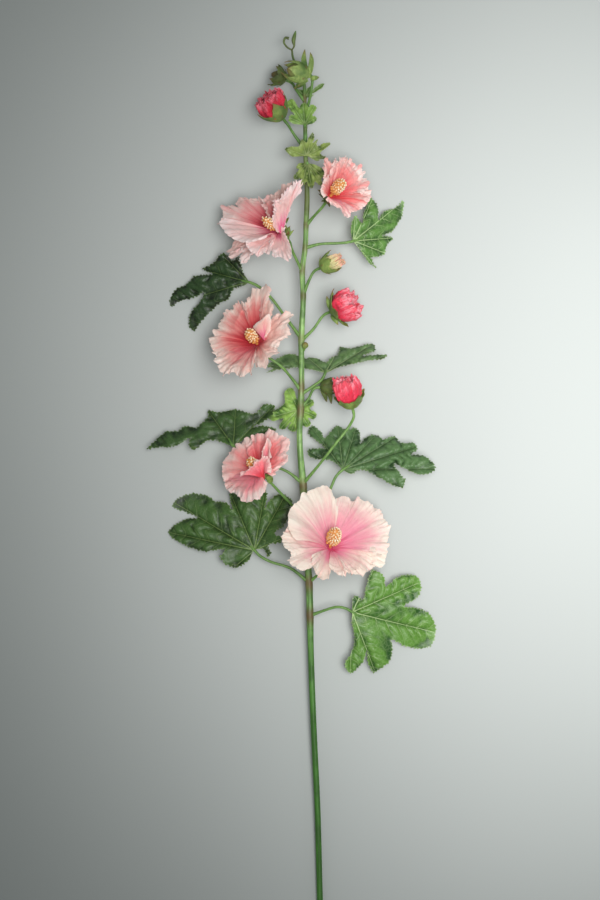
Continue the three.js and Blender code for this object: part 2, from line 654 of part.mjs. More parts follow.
// The outline and rib ends of a young leaf, from its lobes' directions and lengths
function lobedEdge({ base, lobes, notch, blunt }) {
  const at = (turn, length) => [
    base[0] + length * Math.cos(turn * DEG), base[1] + length * Math.sin(turn * DEG),
  ];
  const outline = [];
  lobes.forEach(([turn, length], i) => {
    const [nextTurn, nextLength] = lobes[i + 1] ?? [turn + 60, 0.8 * length];
    const gap = nextTurn - turn;
    if (!i) outline.push(at(turn - 22, 0.6 * length));
    const shoulder = (way) => at(turn + way * Math.min(0.22 * gap, 9), blunt * length);
    outline.push(shoulder(-1), at(turn, length), shoulder(1));
    const last = i === lobes.length - 1;
    const bay = notch * Math.min(length, nextLength);
    outline.push(last ? at(turn + 22, 0.6 * length) : at(turn + gap / 2, bay));
  });
  return { outline, tips: lobes.map(([turn, length]) => at(turn, length)) };
}

// The edge as [direction, distance] from the heart, turned so that directions only ever grow
function edgeFromHeart(outline, heart) {
  const turns = outline.map(([x, y]) => Math.atan2(y - heart[1], x - heart[0]));
  for (let i = 1; i < turns.length; i++) {
    while (turns[i] - turns[i - 1] > Math.PI) turns[i] -= 2 * Math.PI;
    while (turns[i] - turns[i - 1] < -Math.PI) turns[i] += 2 * Math.PI;
  }
  const reaches = outline.map(([x, y]) => Math.hypot(x - heart[0], y - heart[1]));
  if (turns[turns.length - 1] < turns[0]) {
    turns.reverse();
    reaches.reverse();
  }
  const least = 0.012;
  const rising = [...turns];
  for (let i = 1; i < rising.length; i++) rising[i] = Math.max(rising[i], rising[i - 1] + least);
  const falling = [...turns];
  for (let i = falling.length - 2; i >= 0; i--) {
    falling[i] = Math.min(falling[i], falling[i + 1] - least);
  }
  return turns.map((_, i) => [(rising[i] + falling[i]) / 2, reaches[i]]);
}

function distanceToRib([x, y], base, tip) {
  const [dx, dy] = [tip[0] - base[0], tip[1] - base[1]];
  const along = ((x - base[0]) * dx + (y - base[1]) * dy) / (dx * dx + dy * dy);
  const t = THREE.MathUtils.clamp(along, 0, 1);
  return Math.hypot(x - base[0] - t * dx, y - base[1] - t * dy);
}

// The height of a leaf's blade at a place seen from above
function leafHeight(leaf, tips, seed, [x, y]) {
  const [dx, dy] = [x - leaf.base[0], y - leaf.base[1]];
  const r = Math.hypot(dx, dy);
  const rib = Math.min(...tips.map((tip) => distanceToRib([x, y], leaf.base, tip)));
  const pleat = PLEAT * (1 - Math.exp(-rib / PLEAT_REACH)) * Math.min(r / 40, 1);
  const arch = leaf.rise * r - leaf.droop * r ** 2;
  const wave = 0.03 * r * Math.sin(5 * Math.atan2(dy, dx) + 6 * chance(seed));
  const high = leaf.base[2] + leaf.slope[0] * dx + leaf.slope[1] * dy + arch + pleat + wave;
  return softMax(high, BLADE / 2, FLAT_BLEND);
}

// The blade: the base of the stalk and the edge, joined in rings round the leaf's heart
function leafBlade(leaf, seed) {
  const { outline, tips } = leaf.outline ? leaf : lobedEdge(leaf);
  const heart = leaf.heart ?? leaf.base;
  const closed = Boolean(leaf.heart);
  const edge = edgeFromHeart(closed ? [[leaf.base[0], leaf.base[1]], ...outline] : outline, heart);
  const place = (turn, reach) => {
    const spot = [heart[0] + reach * Math.cos(turn), heart[1] + reach * Math.sin(turn)];
    return new THREE.Vector3(...spot, leafHeight(leaf, tips, seed, spot));
  };
  const points = [place(0, 0)];
  const rings = closed ? [0.5, 1] : [1];
  for (const ring of rings) {
    for (const [turn, reach] of edge) points.push(place(turn, ring * reach));
  }
  const n = edge.length;
  const triangles = [];
  for (let j = 0; j < (closed ? n : n - 1); j++) {
    const k = (j + 1) % n;
    triangles.push([0, 1 + j, 1 + k]);
    if (closed) triangles.push([1 + j, 1 + j + n, 1 + k], [1 + k, 1 + j + n, 1 + k + n]);
  }
  return thicken(points, triangles, BLADE);
}

function leafPiece(leaf, colour) {
  const seed = nameSeed(leaf.name);
  const route = [...leaf.stalk, leaf.base];
  if (leaf.heart) {
    const [x, y] = [(leaf.base[0] + leaf.heart[0]) / 2, (leaf.base[1] + leaf.heart[1]) / 2];
    route.push([x, y, leafHeight(leaf, leaf.tips, seed, [x, y])]);
  }
  const solid = join([leafBlade(leaf, seed), stalkTube(route, route.length + 2)]);
  return piece(leaf.name, solid.subtract(stemRoom), colour, 0.5);
}

function flowerPetals(flower, frame) {
  const petals = flower.petals.map((petal) => petalFromTip(flower, frame, petal));
  const ring = corolla(frame, petals, PETAL_GRID);
  if (!flower.folded) return toSolid(ring);
  const petal = petalFromTip(flower, frame, flower.folded);
  return join([ring, petalBlade(frame, { ...petal, seed: 1 }, petal.half, [3, 4])]);
}

// The column of anthers, which stands in the middle of the petals
function flowerColumn(flower, frame) {
  const { column: top, girth = 1 } = flower;
  const grain = [[0.5 + GAP, 1.5], [4.6, 1.7], [7, 2.7], [0.4 * top, 3.6 * girth],
    [0.52 * top, 4.1 * girth], [0.64 * top, 4.2 * girth], [0.76 * top, 4.1 * girth],
    [0.88 * top, 3.4 * girth], [top, 1.8]];
  return turned(frame, grain, 8, 0.15);
}

// The end of a stalk, just under petals whose ring of roots is at height
function seatOf(frame, height) {
  return frame.at(0, 0, height - PETAL / 2 - GAP).toArray();
}

function flowerCalyx(flower, frame) {
  const [length, lift] = flower.sepals;
  const lobe = { length, turn: 36, root: lift - 10, tip: lift - 30 };
  const cup = calyxCup(frame, [[-9, 1.1], [-2.2, 5.6]], lobe, 3);
  const route = [...flower.stalk, frame.at(0, 0, -18).toArray(), seatOf(frame, 0)];
  return join([cup, stalkTube(route, route.length + 3)]);
}

function flowerPieces(flower) {
  const frame = flowerFrame(flower.throat, flower.faces, nameSeed(flower.name));
  const petals = flowerPetals(flower, frame);
  const column = toSolid(flowerColumn(flower, frame));
  const calyx = flowerCalyx(flower, frame).subtract(stemRoom);
  return [
    piece(`${flower.name}_petals`, petals, COLOURS.petal, 0.75),
    piece(`${flower.name}_column`, column, COLOURS.column, 0.8),
    piece(`${flower.name}_calyx`, calyx, COLOURS.calyx, 0.6),
  ];
}

// A bud's green part: a cup with pointed lobes, and a ball inside it where the bud is closed
function budCalyx(bud, frame) {
  const k = bud.size;
  const closed = bud.petals === "none";
  const end = closed ? frame.at(0, 0, 4.4 * k).toArray() : seatOf(frame, BUD_SEAT * k);
  const route = [...bud.stalk, frame.at(0, 0, -(bud.neck ?? 6) * k).toArray(), end];
  const parts = [stalkTube(route, route.length + 3)];
  if (closed) {
    const ball = [[2.6 * k, 1.6 * k], [6 * k, 5.8 * k], [10 * k, 6.6 * k], [14 * k, 5.2 * k],
      [18 * k, 1.6 * k]];
    parts.push(turned(frame, ball, 7));
  }
  if (k > 0.5) {
    const [length, root, tip] = bud.sepals ?? [15, 38, 62];
    const lobe = { length: length * k, turn: 20, root, tip };
    parts.push(calyxCup(frame, [[0.6 * k, 1], [4.6 * k, 7.4 * k]], lobe, closed ? 2 : 3));
  }
  return join(parts);
}

// A bud's petals: a ring round a tighter one, or a furled tip
function budPetals(bud, frame) {
  const k = bud.size;
  const layer = (height, root, count, length, rootLift, tipLift) => {
    const seed = nameSeed(bud.name) + count;
    const crown = flowerFrame(frame.at(0, 0, height).toArray(), bud.faces, seed, root * k);
    const petals = [...Array(count).keys()].map((i) => ({
      turn: (360 / count) * i + 60 * chance(seed),
      length: length * k,
      rootLift,
      tipLift: tipLift + 16 * chance(seed + i),
      half: 90,
    }));
    return corolla(crown, petals, BUD_PETAL_GRID);
  };
  const base = BUD_SEAT * k;
  const [root, tip] = bud.lifts;
  if (bud.petals === "tip") return toSolid(layer(base, 4, 3, 21, root, tip));
  return join([layer(base, 5.4, 5, 25, root, tip), layer(base + 0.5, 4.4, 3, 21, root + 22, tip + 18)]);
}

function budPieces(bud) {
  const frame = flowerFrame(bud.base, bud.faces, nameSeed(bud.name));
  const calyx = budCalyx(bud, frame).subtract(stemRoom);
  if (bud.petals === "none") return [piece(`${bud.name}_calyx`, calyx, COLOURS.calyx, 0.6)];
  const petals = budPetals(bud, frame);
  return [
    piece(`${bud.name}_calyx`, calyx, COLOURS.calyx, 0.6),
    piece(`${bud.name}_petals`, petals, COLOURS.bud, 0.7),
  ];
}

const hollyhock = new THREE.Group();
hollyhock.name = "hollyhock_stem";
hollyhock.add(mainStem());
LEAVES.forEach((leaf) => hollyhock.add(leafPiece(leaf, COLOURS.leaf)));
YOUNG_LEAVES.forEach((leaf) => hollyhock.add(leafPiece(leaf, COLOURS.young)));
FLOWERS.forEach((flower) => hollyhock.add(...flowerPieces(flower)));
BUDS.forEach((bud) => hollyhock.add(...budPieces(bud)));
hollyhock.position.set(-MIDDLE[0], -MIDDLE[1], 0);

export default hollyhock;
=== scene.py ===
"""A cut stem of pink hollyhock, laid on a pale surface with its flowers facing up.

Sizes are in millimetres, and places are [across, along, high]: across from the middle of the
flowering part, along from the cut end of the stem, high from the surface. Skin.piece turns them
into metres in the part's own frame.
"""

import logging
import math
from dataclasses import dataclass, field, replace
from enum import Enum

import bpy
import numpy as np
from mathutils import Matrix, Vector
from mathutils.geometry import delaunay_2d_cdt


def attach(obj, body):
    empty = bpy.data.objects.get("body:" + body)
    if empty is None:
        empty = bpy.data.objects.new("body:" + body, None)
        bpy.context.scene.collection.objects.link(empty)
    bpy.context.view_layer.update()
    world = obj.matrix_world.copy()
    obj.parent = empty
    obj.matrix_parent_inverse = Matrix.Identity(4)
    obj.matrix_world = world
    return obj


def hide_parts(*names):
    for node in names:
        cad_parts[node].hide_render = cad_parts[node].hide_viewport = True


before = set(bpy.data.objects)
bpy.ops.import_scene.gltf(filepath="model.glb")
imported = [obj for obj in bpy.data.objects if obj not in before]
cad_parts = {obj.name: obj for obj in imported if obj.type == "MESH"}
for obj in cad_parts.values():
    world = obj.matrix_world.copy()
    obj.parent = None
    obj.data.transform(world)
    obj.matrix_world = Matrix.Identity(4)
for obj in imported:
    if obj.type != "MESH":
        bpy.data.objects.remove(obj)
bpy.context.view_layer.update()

LOG = logging.getLogger("hollyhock")

MIDDLE = np.array([-8.0, 476.5, 0.0])  # the part's origin, in the places used here
STALK_RADIUS = 1.45
STALK_FOOT = 1.4  # how many times thicker a stalk is where it leaves the stem
REST_HEIGHT = 0.4  # lowest height of the middle of a leaf or petal
FLAT_BLEND = 6.0  # height over which a blade eases onto the surface
LEAF_THICKNESS = 0.5
PETAL_THICKNESS = 0.4
SEPAL_THICKNESS = 0.5
BRACT_THICKNESS = 0.4
SLIVER_THICKNESS = 0.45
PETAL_ROOT = 3.0  # distance of the petals' roots from a flower's axis
BUD_SEAT = 4.8  # height of the petals' roots over the foot of a bud of size 1
SEAT_DEPTH = 0.4  # how far a stalk ends below the petals' roots, besides the gap
GAP = 0.35  # space that a stalk or a column keeps from the petals
WAVES = 8  # ripples round a whole bud
RIPPLE = 3.0  # their height at the edge of a petal 60 long
OVERLAP = 1.2  # how far one side of a bud's petal stands over the next
PLEAT = 3.4  # height of a leaf's skin between its ribs
PLEAT_REACH = 9.0  # distance from a rib over which it rises
MESH_ROW = 0.866  # distance of the rows in an even mesh of triangles, as a share of their sides
LOBE_STEPS = 26  # points round a calyx for each of its lobes
ANTHER_SPACING = 0.0022  # in metres, as all lengths in the geometry trees
ANTHER_SIZE = 0.001

EYE = np.array([0.0, 514.5, 2400.0])  # where the camera is, in the places used here
LEVEL = 25.0  # height at which the picture is measured

Triple = tuple[float, float, float]


def colour(code: str) -> tuple[float, float, float, float]:
    """Turns a screen colour into the linear one that Blender mixes.

    Args:
        code: The screen colour, as a hash and six digits.

    Returns:
        Its linear red, green and blue, and alpha.
    """
    parts = [int(code[i:i + 2], 16) / 255 for i in (1, 3, 5)]
    lit = [c / 12.92 if c <= 0.04045 else ((c + 0.055) / 1.055) ** 2.4 for c in parts]
    return (lit[0], lit[1], lit[2], 1.0)


def chance(seed: float) -> float:
    """Gives a fixed number from 0 to 1 for a seed."""
    x = math.sin(seed * 12.9898 + 4.1414) * 43758.5453
    return x - math.floor(x)


def name_seed(name: str) -> int:
    """Gives a piece's own seed, from the letters of its name."""
    return sum(ord(letter) for letter in name)


def smoothstep(x: np.ndarray, low: float, high: float) -> np.ndarray:
    """Eases from 0 at low to 1 at high."""
    t = np.clip((np.asarray(x, float) - low) / (high - low), 0, 1)
    return t * t * (3 - 2 * t)


def soft_max(a: np.ndarray, b: float, k: float) -> np.ndarray:
    """Takes the larger of two heights, with the corner between them eased over k."""
    near = np.clip(k - np.abs(a - b), 0, None) / k
    return np.maximum(a, b) + near * near * k / 4


def settled(points: np.ndarray) -> np.ndarray:
    """Eases places that would sink into the surface onto it."""
    points[..., 2] = soft_max(points[..., 2], REST_HEIGHT, FLAT_BLEND)
    return points


def unit(ways: np.ndarray) -> np.ndarray:
    """Gives each direction a length of 1."""
    return ways / np.maximum(np.linalg.norm(ways, axis=-1, keepdims=True), 1e-9)


def stalk_route(places: list) -> list:
    """Gives the places of a stalk their radius, with a thicker foot."""
    return [[*p, STALK_RADIUS * (1.0 if i else STALK_FOOT)] for i, p in enumerate(places)]


def wander(x: np.ndarray, seed: float, rate: float) -> np.ndarray:
    """Runs smooth, uneven waves between about -1 and 1.

    Args:
        x: Places along the waves.
        seed: What gives them their own course.
        rate: How fast they run, in radians for each unit of x.

    Returns:
        The waves at those places.
    """
    total = 0 * np.asarray(x, float)
    for size, speed in ((0.5, 1.0), (0.32, 1.73), (0.24, 3.1)):
        turn = 6.2832 * chance(seed + 7.7 * speed)
        bent = 1.9 * np.sin(0.29 * rate * speed * x + 2.3 * turn)
        total = total + size * np.sin(rate * speed * x + turn + bent)
    return total


def seen(places: list) -> np.ndarray:
    """Finds the real places of what the camera sees.

    Args:
        places: Rows of [across, along, high], the first two as seen on the camera's level.

    Returns:
        The places, at their heights.
    """
    given = np.array(places, float)
    nearer = (EYE[2] - given[:, 2:3]) / (EYE[2] - LEVEL)
    return np.column_stack([EYE[:2] + (given[:, :2] - EYE[:2]) * nearer, given[:, 2:]])


def smooth_route(stations: np.ndarray, step: float, closed: bool = False) -> np.ndarray:
    """Runs a smooth curve through stations.

    Args:
        stations: Rows of coordinates, with any further values such as a radius last.
        step: Distance between the samples.
        closed: Whether the last station joins the first.

    Returns:
        The samples, with as many columns as the stations have.
    """
    given = np.asarray(stations, float)
    if closed:
        line = np.vstack([given[-1], given, given[0], given[1]])
    else:
        line = np.vstack([2 * given[0] - given[1], given, 2 * given[-1] - given[-2]])
    places = min(3, line.shape[1])
    found = []
    for a, b, c, d in zip(line[:-3], line[1:-2], line[2:-1], line[3:]):
        t0, t1, t2 = (max(np.linalg.norm((q - p)[:places]) ** 0.5, 1e-3)
                      for p, q in ((a, b), (b, c), (c, d)))
        start = ((b - a) / t0 - (c - a) / (t0 + t1) + (c - b) / t1) * t1
        end = ((c - b) / t1 - (d - b) / (t1 + t2) + (d - c) / t2) * t1
        count = max(1, round(np.linalg.norm((c - b)[:places]) / step))
        t = (np.arange(count) / count)[:, None]
        found.append((2 * t**3 - 3 * t**2 + 1) * b + (t**3 - 2 * t**2 + t) * start
                     + (3 * t**2 - 2 * t**3) * c + (t**3 - t**2) * end)
    if not closed:
        found.append(given[-1:])
    return np.vstack(found)


@dataclass
class Skin:
    """One surface of the plant: its points, its faces and the marks that its finish reads."""

    points: np.ndarray
    faces: list
    marks: dict = field(default_factory=dict)

    @classmethod
    def grid(cls, points: np.ndarray, marks: dict, wraps: bool = False) -> "Skin":
        """Makes a surface from rows and columns of points.

        Args:
            points: Places, as rows by columns by 3.
            marks: Values for each place, as rows by columns.
            wraps: Whether the last column joins the first.

        Returns:
            The surface.
        """
        rows, columns = points.shape[:2]
        ends = columns if wraps else columns - 1
        i, j = np.meshgrid(np.arange(rows - 1), np.arange(ends), indexing="ij")
        k = (j + 1) % columns
        corners = [i * columns + j, (i + 1) * columns + j, (i + 1) * columns + k, i * columns + k]
        faces = np.stack(corners, -1).reshape(-1, 4).tolist()
        flat = {key: np.asarray(value, float).ravel() for key, value in marks.items()}
        return cls(points.reshape(-1, 3), faces, flat)

    @classmethod
    def joined(cls, skins: list) -> "Skin":
        """Puts several surfaces into one.

        Args:
            skins: The surfaces.

        Returns:
            One surface with all their marks, where a mark that a surface lacks is 0.
        """
        keys = {key for skin in skins for key in skin.marks}
        faces, start = [], 0
        for skin in skins:
            faces += [[start + i for i in face] for face in skin.faces]
            start += len(skin.points)
        marks = {key: np.concatenate([skin.marks.get(key, np.zeros(len(skin.points)))
                                      for skin in skins]) for key in keys}
        return cls(np.vstack([skin.points for skin in skins]), faces, marks)

    def thickened(self, thickness: float) -> "Skin":
        """Gives the surface its thickness, with a rim round each open edge.

        Args:
            thickness: Distance between its two faces.

        Returns:
            A closed skin, whose mark "under" is 1 on the side that faces away.
        """
        normals = np.zeros_like(self.points)
        for size in (3, 4):
            some = np.array([f for f in self.faces if len(f) == size], int)
            if not len(some):
                continue
            p = self.points[some]
            if size == 4:
                across = np.cross(p[:, 2] - p[:, 0], p[:, 3] - p[:, 1])
            else:
                across = np.cross(p[:, 1] - p[:, 0], p[:, 2] - p[:, 0])
            for corner in range(size):
                np.add.at(normals, some[:, corner], across)
        shift = unit(normals) * thickness / 2
        count = len(self.points)
        faces = [list(f) for f in self.faces] + [[i + count for i in reversed(f)] for f in self.faces]
        edges = {(a, b) for f in self.faces for a, b in zip(f, f[1:] + f[:1])}
        faces += [[b, a, a + count, b + count] for a, b in sorted(edges) if (b, a) not in edges]
        points = np.vstack([self.points + shift, self.points - shift])
        marks = {key: np.concatenate([value, value]) for key, value in self.marks.items()}
        marks["under"] = np.repeat([0.0, 1.0], count)
        return Skin(points, faces, marks)

    def piece(self, name: str, finish: bpy.types.Material, sharp: float = 60.0) -> bpy.types.Object:
        """Makes the surface an object, in metres in the part's frame.

        Args:
            name: The object's name.
            finish: Its material.
            sharp: Angle in degrees past which an edge stays crisp.

        Returns:
            The object.
        """
        mesh = bpy.data.meshes.new(name)
        mesh.from_pydata(((self.points - MIDDLE) / 1000).tolist(), [], self.faces)
        mesh.validate()
        for key, value in self.marks.items():
            mark = mesh.attributes.new(key, "FLOAT", "POINT")
            mark.data.foreach_set("value", value.astype(np.float32))
        mesh.polygons.foreach_set("use_smooth", [True] * len(mesh.polygons))
        mesh.set_sharp_from_angle(angle=math.radians(sharp))
        mesh.materials.append(finish)
        made = bpy.data.objects.new(name, mesh)
        bpy.context.scene.collection.objects.link(made)
        return made


class Desk:
    """Places and links the nodes of one tree."""

    def __init__(self, tree: bpy.types.NodeTree) -> None:
        """Starts on a tree."""
        self.tree = tree

    def add(self, kind: str, inputs: dict | None = None, **settings: object) -> bpy.types.Node:
        """Places a node.

        Args:
            kind: The node's type.
            inputs: Values or sockets by input name or number.
            settings: The node's own properties.

        Returns:
            The node.
        """
        node = self.tree.nodes.new(kind)
        for key, value in settings.items():
            setattr(node, key, value)
        for key, value in (inputs or {}).items():
            if isinstance(value, bpy.types.NodeSocket):
                self.tree.links.new(value, node.inputs[key])
            else:
                node.inputs[key].default_value = value
        return node

    def math(self, operation: str, *values: object) -> bpy.types.NodeSocket:
        """Works out one number from others."""
        node = self.add("ShaderNodeMath", dict(enumerate(values)), operation=operation)
        return node.outputs[0]

    def ease(self, value: object, low: object, high: object) -> bpy.types.NodeSocket:
        """Eases from 0 at low to 1 at high."""
        node = self.add("ShaderNodeMapRange", {0: value, 1: low, 2: high, 3: 0.0, 4: 1.0},
                        interpolation_type="SMOOTHSTEP")
        return node.outputs[0]

    def fade(self, value: object, low: object, high: object) -> bpy.types.NodeSocket:
        """Eases from 1 at low to 0 at high."""
        return self.math("SUBTRACT", 1.0, self.ease(value, low, high))

    def sway(self, base: object, noise: object, depth: float) -> bpy.types.NodeSocket:
        """Moves a value up and down by a noise from 0 to 1."""
        return self.math("MULTIPLY_ADD", self.math("SUBTRACT", noise, 0.5), depth, base)

    def mix(self, share: object, first: object, second: object,
            blend: str = "MIX") -> bpy.types.NodeSocket:
        """Mixes two colours."""
        node = self.add("ShaderNodeMix", {0: share, 6: first, 7: second}, data_type="RGBA",
                        blend_type=blend)
        return node.outputs[2]

    def mark(self, name: str) -> bpy.types.NodeSocket:
        """Reads a mark of the skin."""
        return self.add("ShaderNodeAttribute", attribute_name=name).outputs["Fac"]

    def noise(self, where: object, scale: float, detail: float = 3.0) -> bpy.types.NodeSocket:
        """Reads soft noise from 0 to 1."""
        node = self.add("ShaderNodeTexNoise", {"Vector": where, "Scale": scale, "Detail": detail})
        return node.outputs[0]

    def group(self, tree: bpy.types.NodeTree, values: dict) -> bpy.types.Node:
        """Places a group with its values."""
        return self.add("ShaderNodeGroup", values, node_tree=tree)


def new_group(name: str, inputs: dict, outputs: dict) -> tuple:
    """Starts a shader node group.

    Args:
        name: The group's name.
        inputs: Kind of each named input: Float, Color or Vector.
        outputs: Kind of each named output.

    Returns:
        The group, a desk on it, its input sockets by name, and its output node.
    """
    tree = bpy.data.node_groups.new(name, "ShaderNodeTree")
    for way, sockets in (("INPUT", inputs), ("OUTPUT", outputs)):
        for key, kind in sockets.items():
            tree.interface.new_socket(key, in_out=way, socket_type=f"NodeSocket{kind}")
    desk = Desk(tree)
    entry, leave = desk.add("NodeGroupInput"), desk.add("NodeGroupOutput")
    return tree, desk, {key: entry.outputs[key] for key in inputs}, leave


class Effects:
    """The effects that several finishes share, each built once as a node group."""

    def __init__(self) -> None:
        """Builds the groups."""
        self.mottle = self._mottle()
        self.blush = self._blush()
        self.veins = self._veins()

    def _mottle(self) -> bpy.types.NodeTree:
        """Builds the uneven tone, the lengthwise streaks and the fine grain of a plant's skin.

        Returns:
            The group.
        """
        tree, desk, given, leave = new_group(
            "skin_mottle", {"Colour": "Color", "Tint": "Color", "Amount": "Float", "Streak": "Float"},
            {"Colour": "Color", "Height": "Float"})
        where = desk.add("ShaderNodeTexCoord").outputs["Object"]
        broad = desk.ease(desk.noise(where, 70.0, 4.0), 0.35, 0.68)
        drawn = desk.add("ShaderNodeMapping", {"Vector": where, "Scale": (1.0, 0.04, 1.0)}).outputs[0]
        streak = desk.ease(desk.noise(drawn, 420.0, 3.0), 0.38, 0.62)
        fine = desk.noise(where, 900.0, 2.0)
        share = desk.math("MULTIPLY", broad, given["Amount"])
        share = desk.math("MAXIMUM", share, desk.math("MULTIPLY", streak, given["Streak"]))
        tinted = desk.mix(share, given["Colour"], given["Tint"])
        shade = desk.math("MULTIPLY_ADD", fine, 0.36, 0.82)
        grey = desk.add("ShaderNodeCombineColor", {0: shade, 1: shade, 2: shade}).outputs[0]
        desk.tree.links.new(desk.mix(1.0, tinted, grey, "MULTIPLY"), leave.inputs["Colour"])
        ridge = desk.math("MULTIPLY", streak, given["Streak"])
        height = desk.math("MULTIPLY_ADD", broad, 0.5, desk.math("ADD", fine, ridge))
        desk.tree.links.new(height, leave.inputs["Height"])
        return tree

    def _blush(self) -> bpy.types.NodeTree:
        """Builds a petal's colour from its throat to its margin, streaked along its veins, with painted shade
        where a petal lies in shade.

        Returns:
            The group.
        """
        floats = ["Share", "Across", "Tone", "Crease", "Glow", "Dusk", "Pink", "Throat Reach",
                  "Flush Reach", "Margin Start", "Veins"]
        colours = ["Throat", "Flush", "Bright", "Body", "Margin", "Shade"]
        tree, desk, given, leave = new_group(
            "petal_blush", dict.fromkeys(floats, "Float") | dict.fromkeys(colours, "Color"),
            {"Colour": "Color", "Height": "Float"})
        where = desk.add("ShaderNodeTexCoord").outputs["Object"]
        along = desk.math("MULTIPLY", given["Share"], 1.5)
        ray = desk.math("MULTIPLY", given["Across"], 6.0)
        fine_ray = desk.math("MULTIPLY", given["Across"], 24.0)
        wide = desk.add("ShaderNodeCombineXYZ", {0: ray, 1: along, 2: given["Tone"]}).outputs[0]
        thin = desk.add("ShaderNodeCombineXYZ", {0: fine_ray, 1: along, 2: given["Tone"]}).outputs[0]
        streak = desk.noise(wide, 1.0, 4.0)
        line = desk.noise(thin, 1.0, 2.0)
        cloud = desk.noise(where, 38.0, 4.0)
        ridge = desk.math("ABSOLUTE", desk.math("SUBTRACT", line, 0.5))
        vein = desk.fade(ridge, 0.0, 0.06)
        pushed = desk.sway(given["Share"], streak, 0.6)
        pushed = desk.sway(pushed, cloud, 0.5)
        pushed = desk.math("MULTIPLY_ADD", vein, -0.04, pushed)
        margin = desk.ease(pushed, given["Margin Start"], 1.02)
        painted = desk.mix(margin, given["Body"], given["Margin"])
        patch = desk.ease(desk.noise(where, 26.0, 4.0), 0.42, 0.7)
        # Painted shade: a share set for each petal greys it towards the Shade colour where it lies in shade,
        # and random blotches of that colour show on every petal.
        dusk = desk.math("MULTIPLY", given["Dusk"], desk.math("MULTIPLY_ADD", patch, 0.45, 0.55))
        dusk = desk.math("MAXIMUM", dusk, desk.math("MULTIPLY", patch, 0.2))
        painted = desk.mix(dusk, painted, given["Shade"])
        drawn_in = desk.math("DIVIDE", pushed, given["Glow"])
        flush = desk.fade(drawn_in, 0.05, given["Flush Reach"])
        glowing = desk.mix(given["Pink"], given["Flush"], given["Bright"])
        painted = desk.mix(desk.math("MULTIPLY", flush, 0.9), painted, glowing)
        # Creases are painted deeper pink: partly painted shade in the valleys of the folds, partly the colour
        # that gathers in a real petal's folds; the vein strength also sets it.
        valley = desk.fade(given["Crease"], -0.9, 0.0)
        valley = desk.math("MULTIPLY", valley, given["Veins"])
        painted = desk.mix(valley, painted, glowing)
        throat = desk.fade(drawn_in, 0.0, given["Throat Reach"])
        throat = desk.math("MULTIPLY", throat, desk.math("MULTIPLY_ADD", given["Pink"], -0.85, 1.0))
        painted = desk.mix(throat, painted, given["Throat"])
        inner = desk.fade(given["Share"], 0.3, 0.95)
        share = desk.math("MULTIPLY", desk.math("MULTIPLY", vein, given["Veins"]),
                          desk.math("MULTIPLY_ADD", inner, 0.6, 0.25))
        painted = desk.mix(share, painted, glowing)
        desk.tree.links.new(painted, leave.inputs["Colour"])
        crinkle = desk.noise(where, 240.0, 3.0)
        raised = desk.math("MULTIPLY_ADD", streak, 1.1, desk.math("MULTIPLY_ADD", vein, -0.4, crinkle))
        desk.tree.links.new(raised, leave.inputs["Height"])
        return tree

    def _veins(self) -> bpy.types.NodeTree:
        """Builds a leaf's ribs, side veins and net, and the puffed skin between them, with painted light on
        the puffs and painted shade in the hollows.

        Returns:
            The group.
        """
        floats = ["Along", "Off", "Reach", "Under", "Rim", "Puff", "Spacing", "Contrast"]
        colours = ["Blade", "Deep", "Rib", "Underside"]
        tree, desk, given, leave = new_group(
            "leaf_veins", dict.fromkeys(floats, "Float") | dict.fromkeys(colours, "Color"),
            {"Colour": "Color", "Height": "Float", "Roughness": "Float"})
        where = desk.add("ShaderNodeTexCoord").outputs["Object"]
        broad = desk.noise(where, 42.0, 4.0)
        patch = desk.noise(where, 95.0, 4.0)
        fine = desk.noise(where, 420.0, 3.0)
        width = desk.math("MULTIPLY_ADD", given["Reach"], -0.75, 1.15)
        core = desk.math("MULTIPLY", width, 0.35)
        rib = desk.fade(given["Off"], core, width)
        slant = desk.math("MULTIPLY_ADD", given["Off"], -0.85, given["Along"])
        wobble = desk.sway(slant, broad, 15.0)
        wobble = desk.sway(wobble, patch, 4.0)
        turn = desk.math("FRACT", desk.math("DIVIDE", wobble, given["Spacing"]))
        near = desk.math("MULTIPLY", desk.math("ABSOLUTE", desk.math("SUBTRACT", turn, 0.5)), 2.0)
        side = desk.ease(near, 0.88, 0.99)
        fading = desk.fade(given["Off"], 3.0, 17.0)
        side = desk.math("MULTIPLY", side, fading)
        cells = desk.add("ShaderNodeTexVoronoi", {"Vector": where, "Scale": 240.0},
                         feature="DISTANCE_TO_EDGE").outputs["Distance"]
        net = desk.fade(cells, 0.02, 0.14)
        tone = desk.math("MULTIPLY_ADD", patch, 0.25, desk.math("MULTIPLY", broad, 0.25))
        # Painted light and shade: the raised puffs are painted lighter and the hollows darker, on top of the
        # random tone.
        tone = desk.math("MULTIPLY_ADD", given["Puff"], 0.5, tone)
        painted = desk.mix(desk.ease(tone, 0.3, 0.72), given["Deep"], given["Blade"])
        lines = desk.math("MAXIMUM", rib, desk.math("MULTIPLY", side, 0.65))
        lines = desk.math("MAXIMUM", lines, desk.math("MULTIPLY", net, 0.14))
        painted = desk.mix(desk.math("MULTIPLY", lines, given["Contrast"]), painted, given["Rib"])
        rim = desk.math("MULTIPLY", desk.fade(given["Rim"], 0.15, 0.9), 0.35)
        painted = desk.mix(rim, painted, given["Rib"])
        below = desk.mix(desk.math("MULTIPLY", lines, 0.4), given["Underside"], given["Rib"])
        painted = desk.mix(given["Under"], painted, below)
        desk.tree.links.new(painted, leave.inputs["Colour"])
        sunk = desk.math("MULTIPLY_ADD", side, -0.8, desk.math("MULTIPLY", rib, -0.4))
        sunk = desk.math("MULTIPLY_ADD", net, -0.3, sunk)
        sunk = desk.math("MULTIPLY_ADD", patch, 0.2, sunk)
        desk.tree.links.new(desk.math("MULTIPLY_ADD", fine, 0.18, sunk), leave.inputs["Height"])
        desk.tree.links.new(desk.math("MULTIPLY_ADD", fine, 0.16, 0.38), leave.inputs["Roughness"])
        return tree


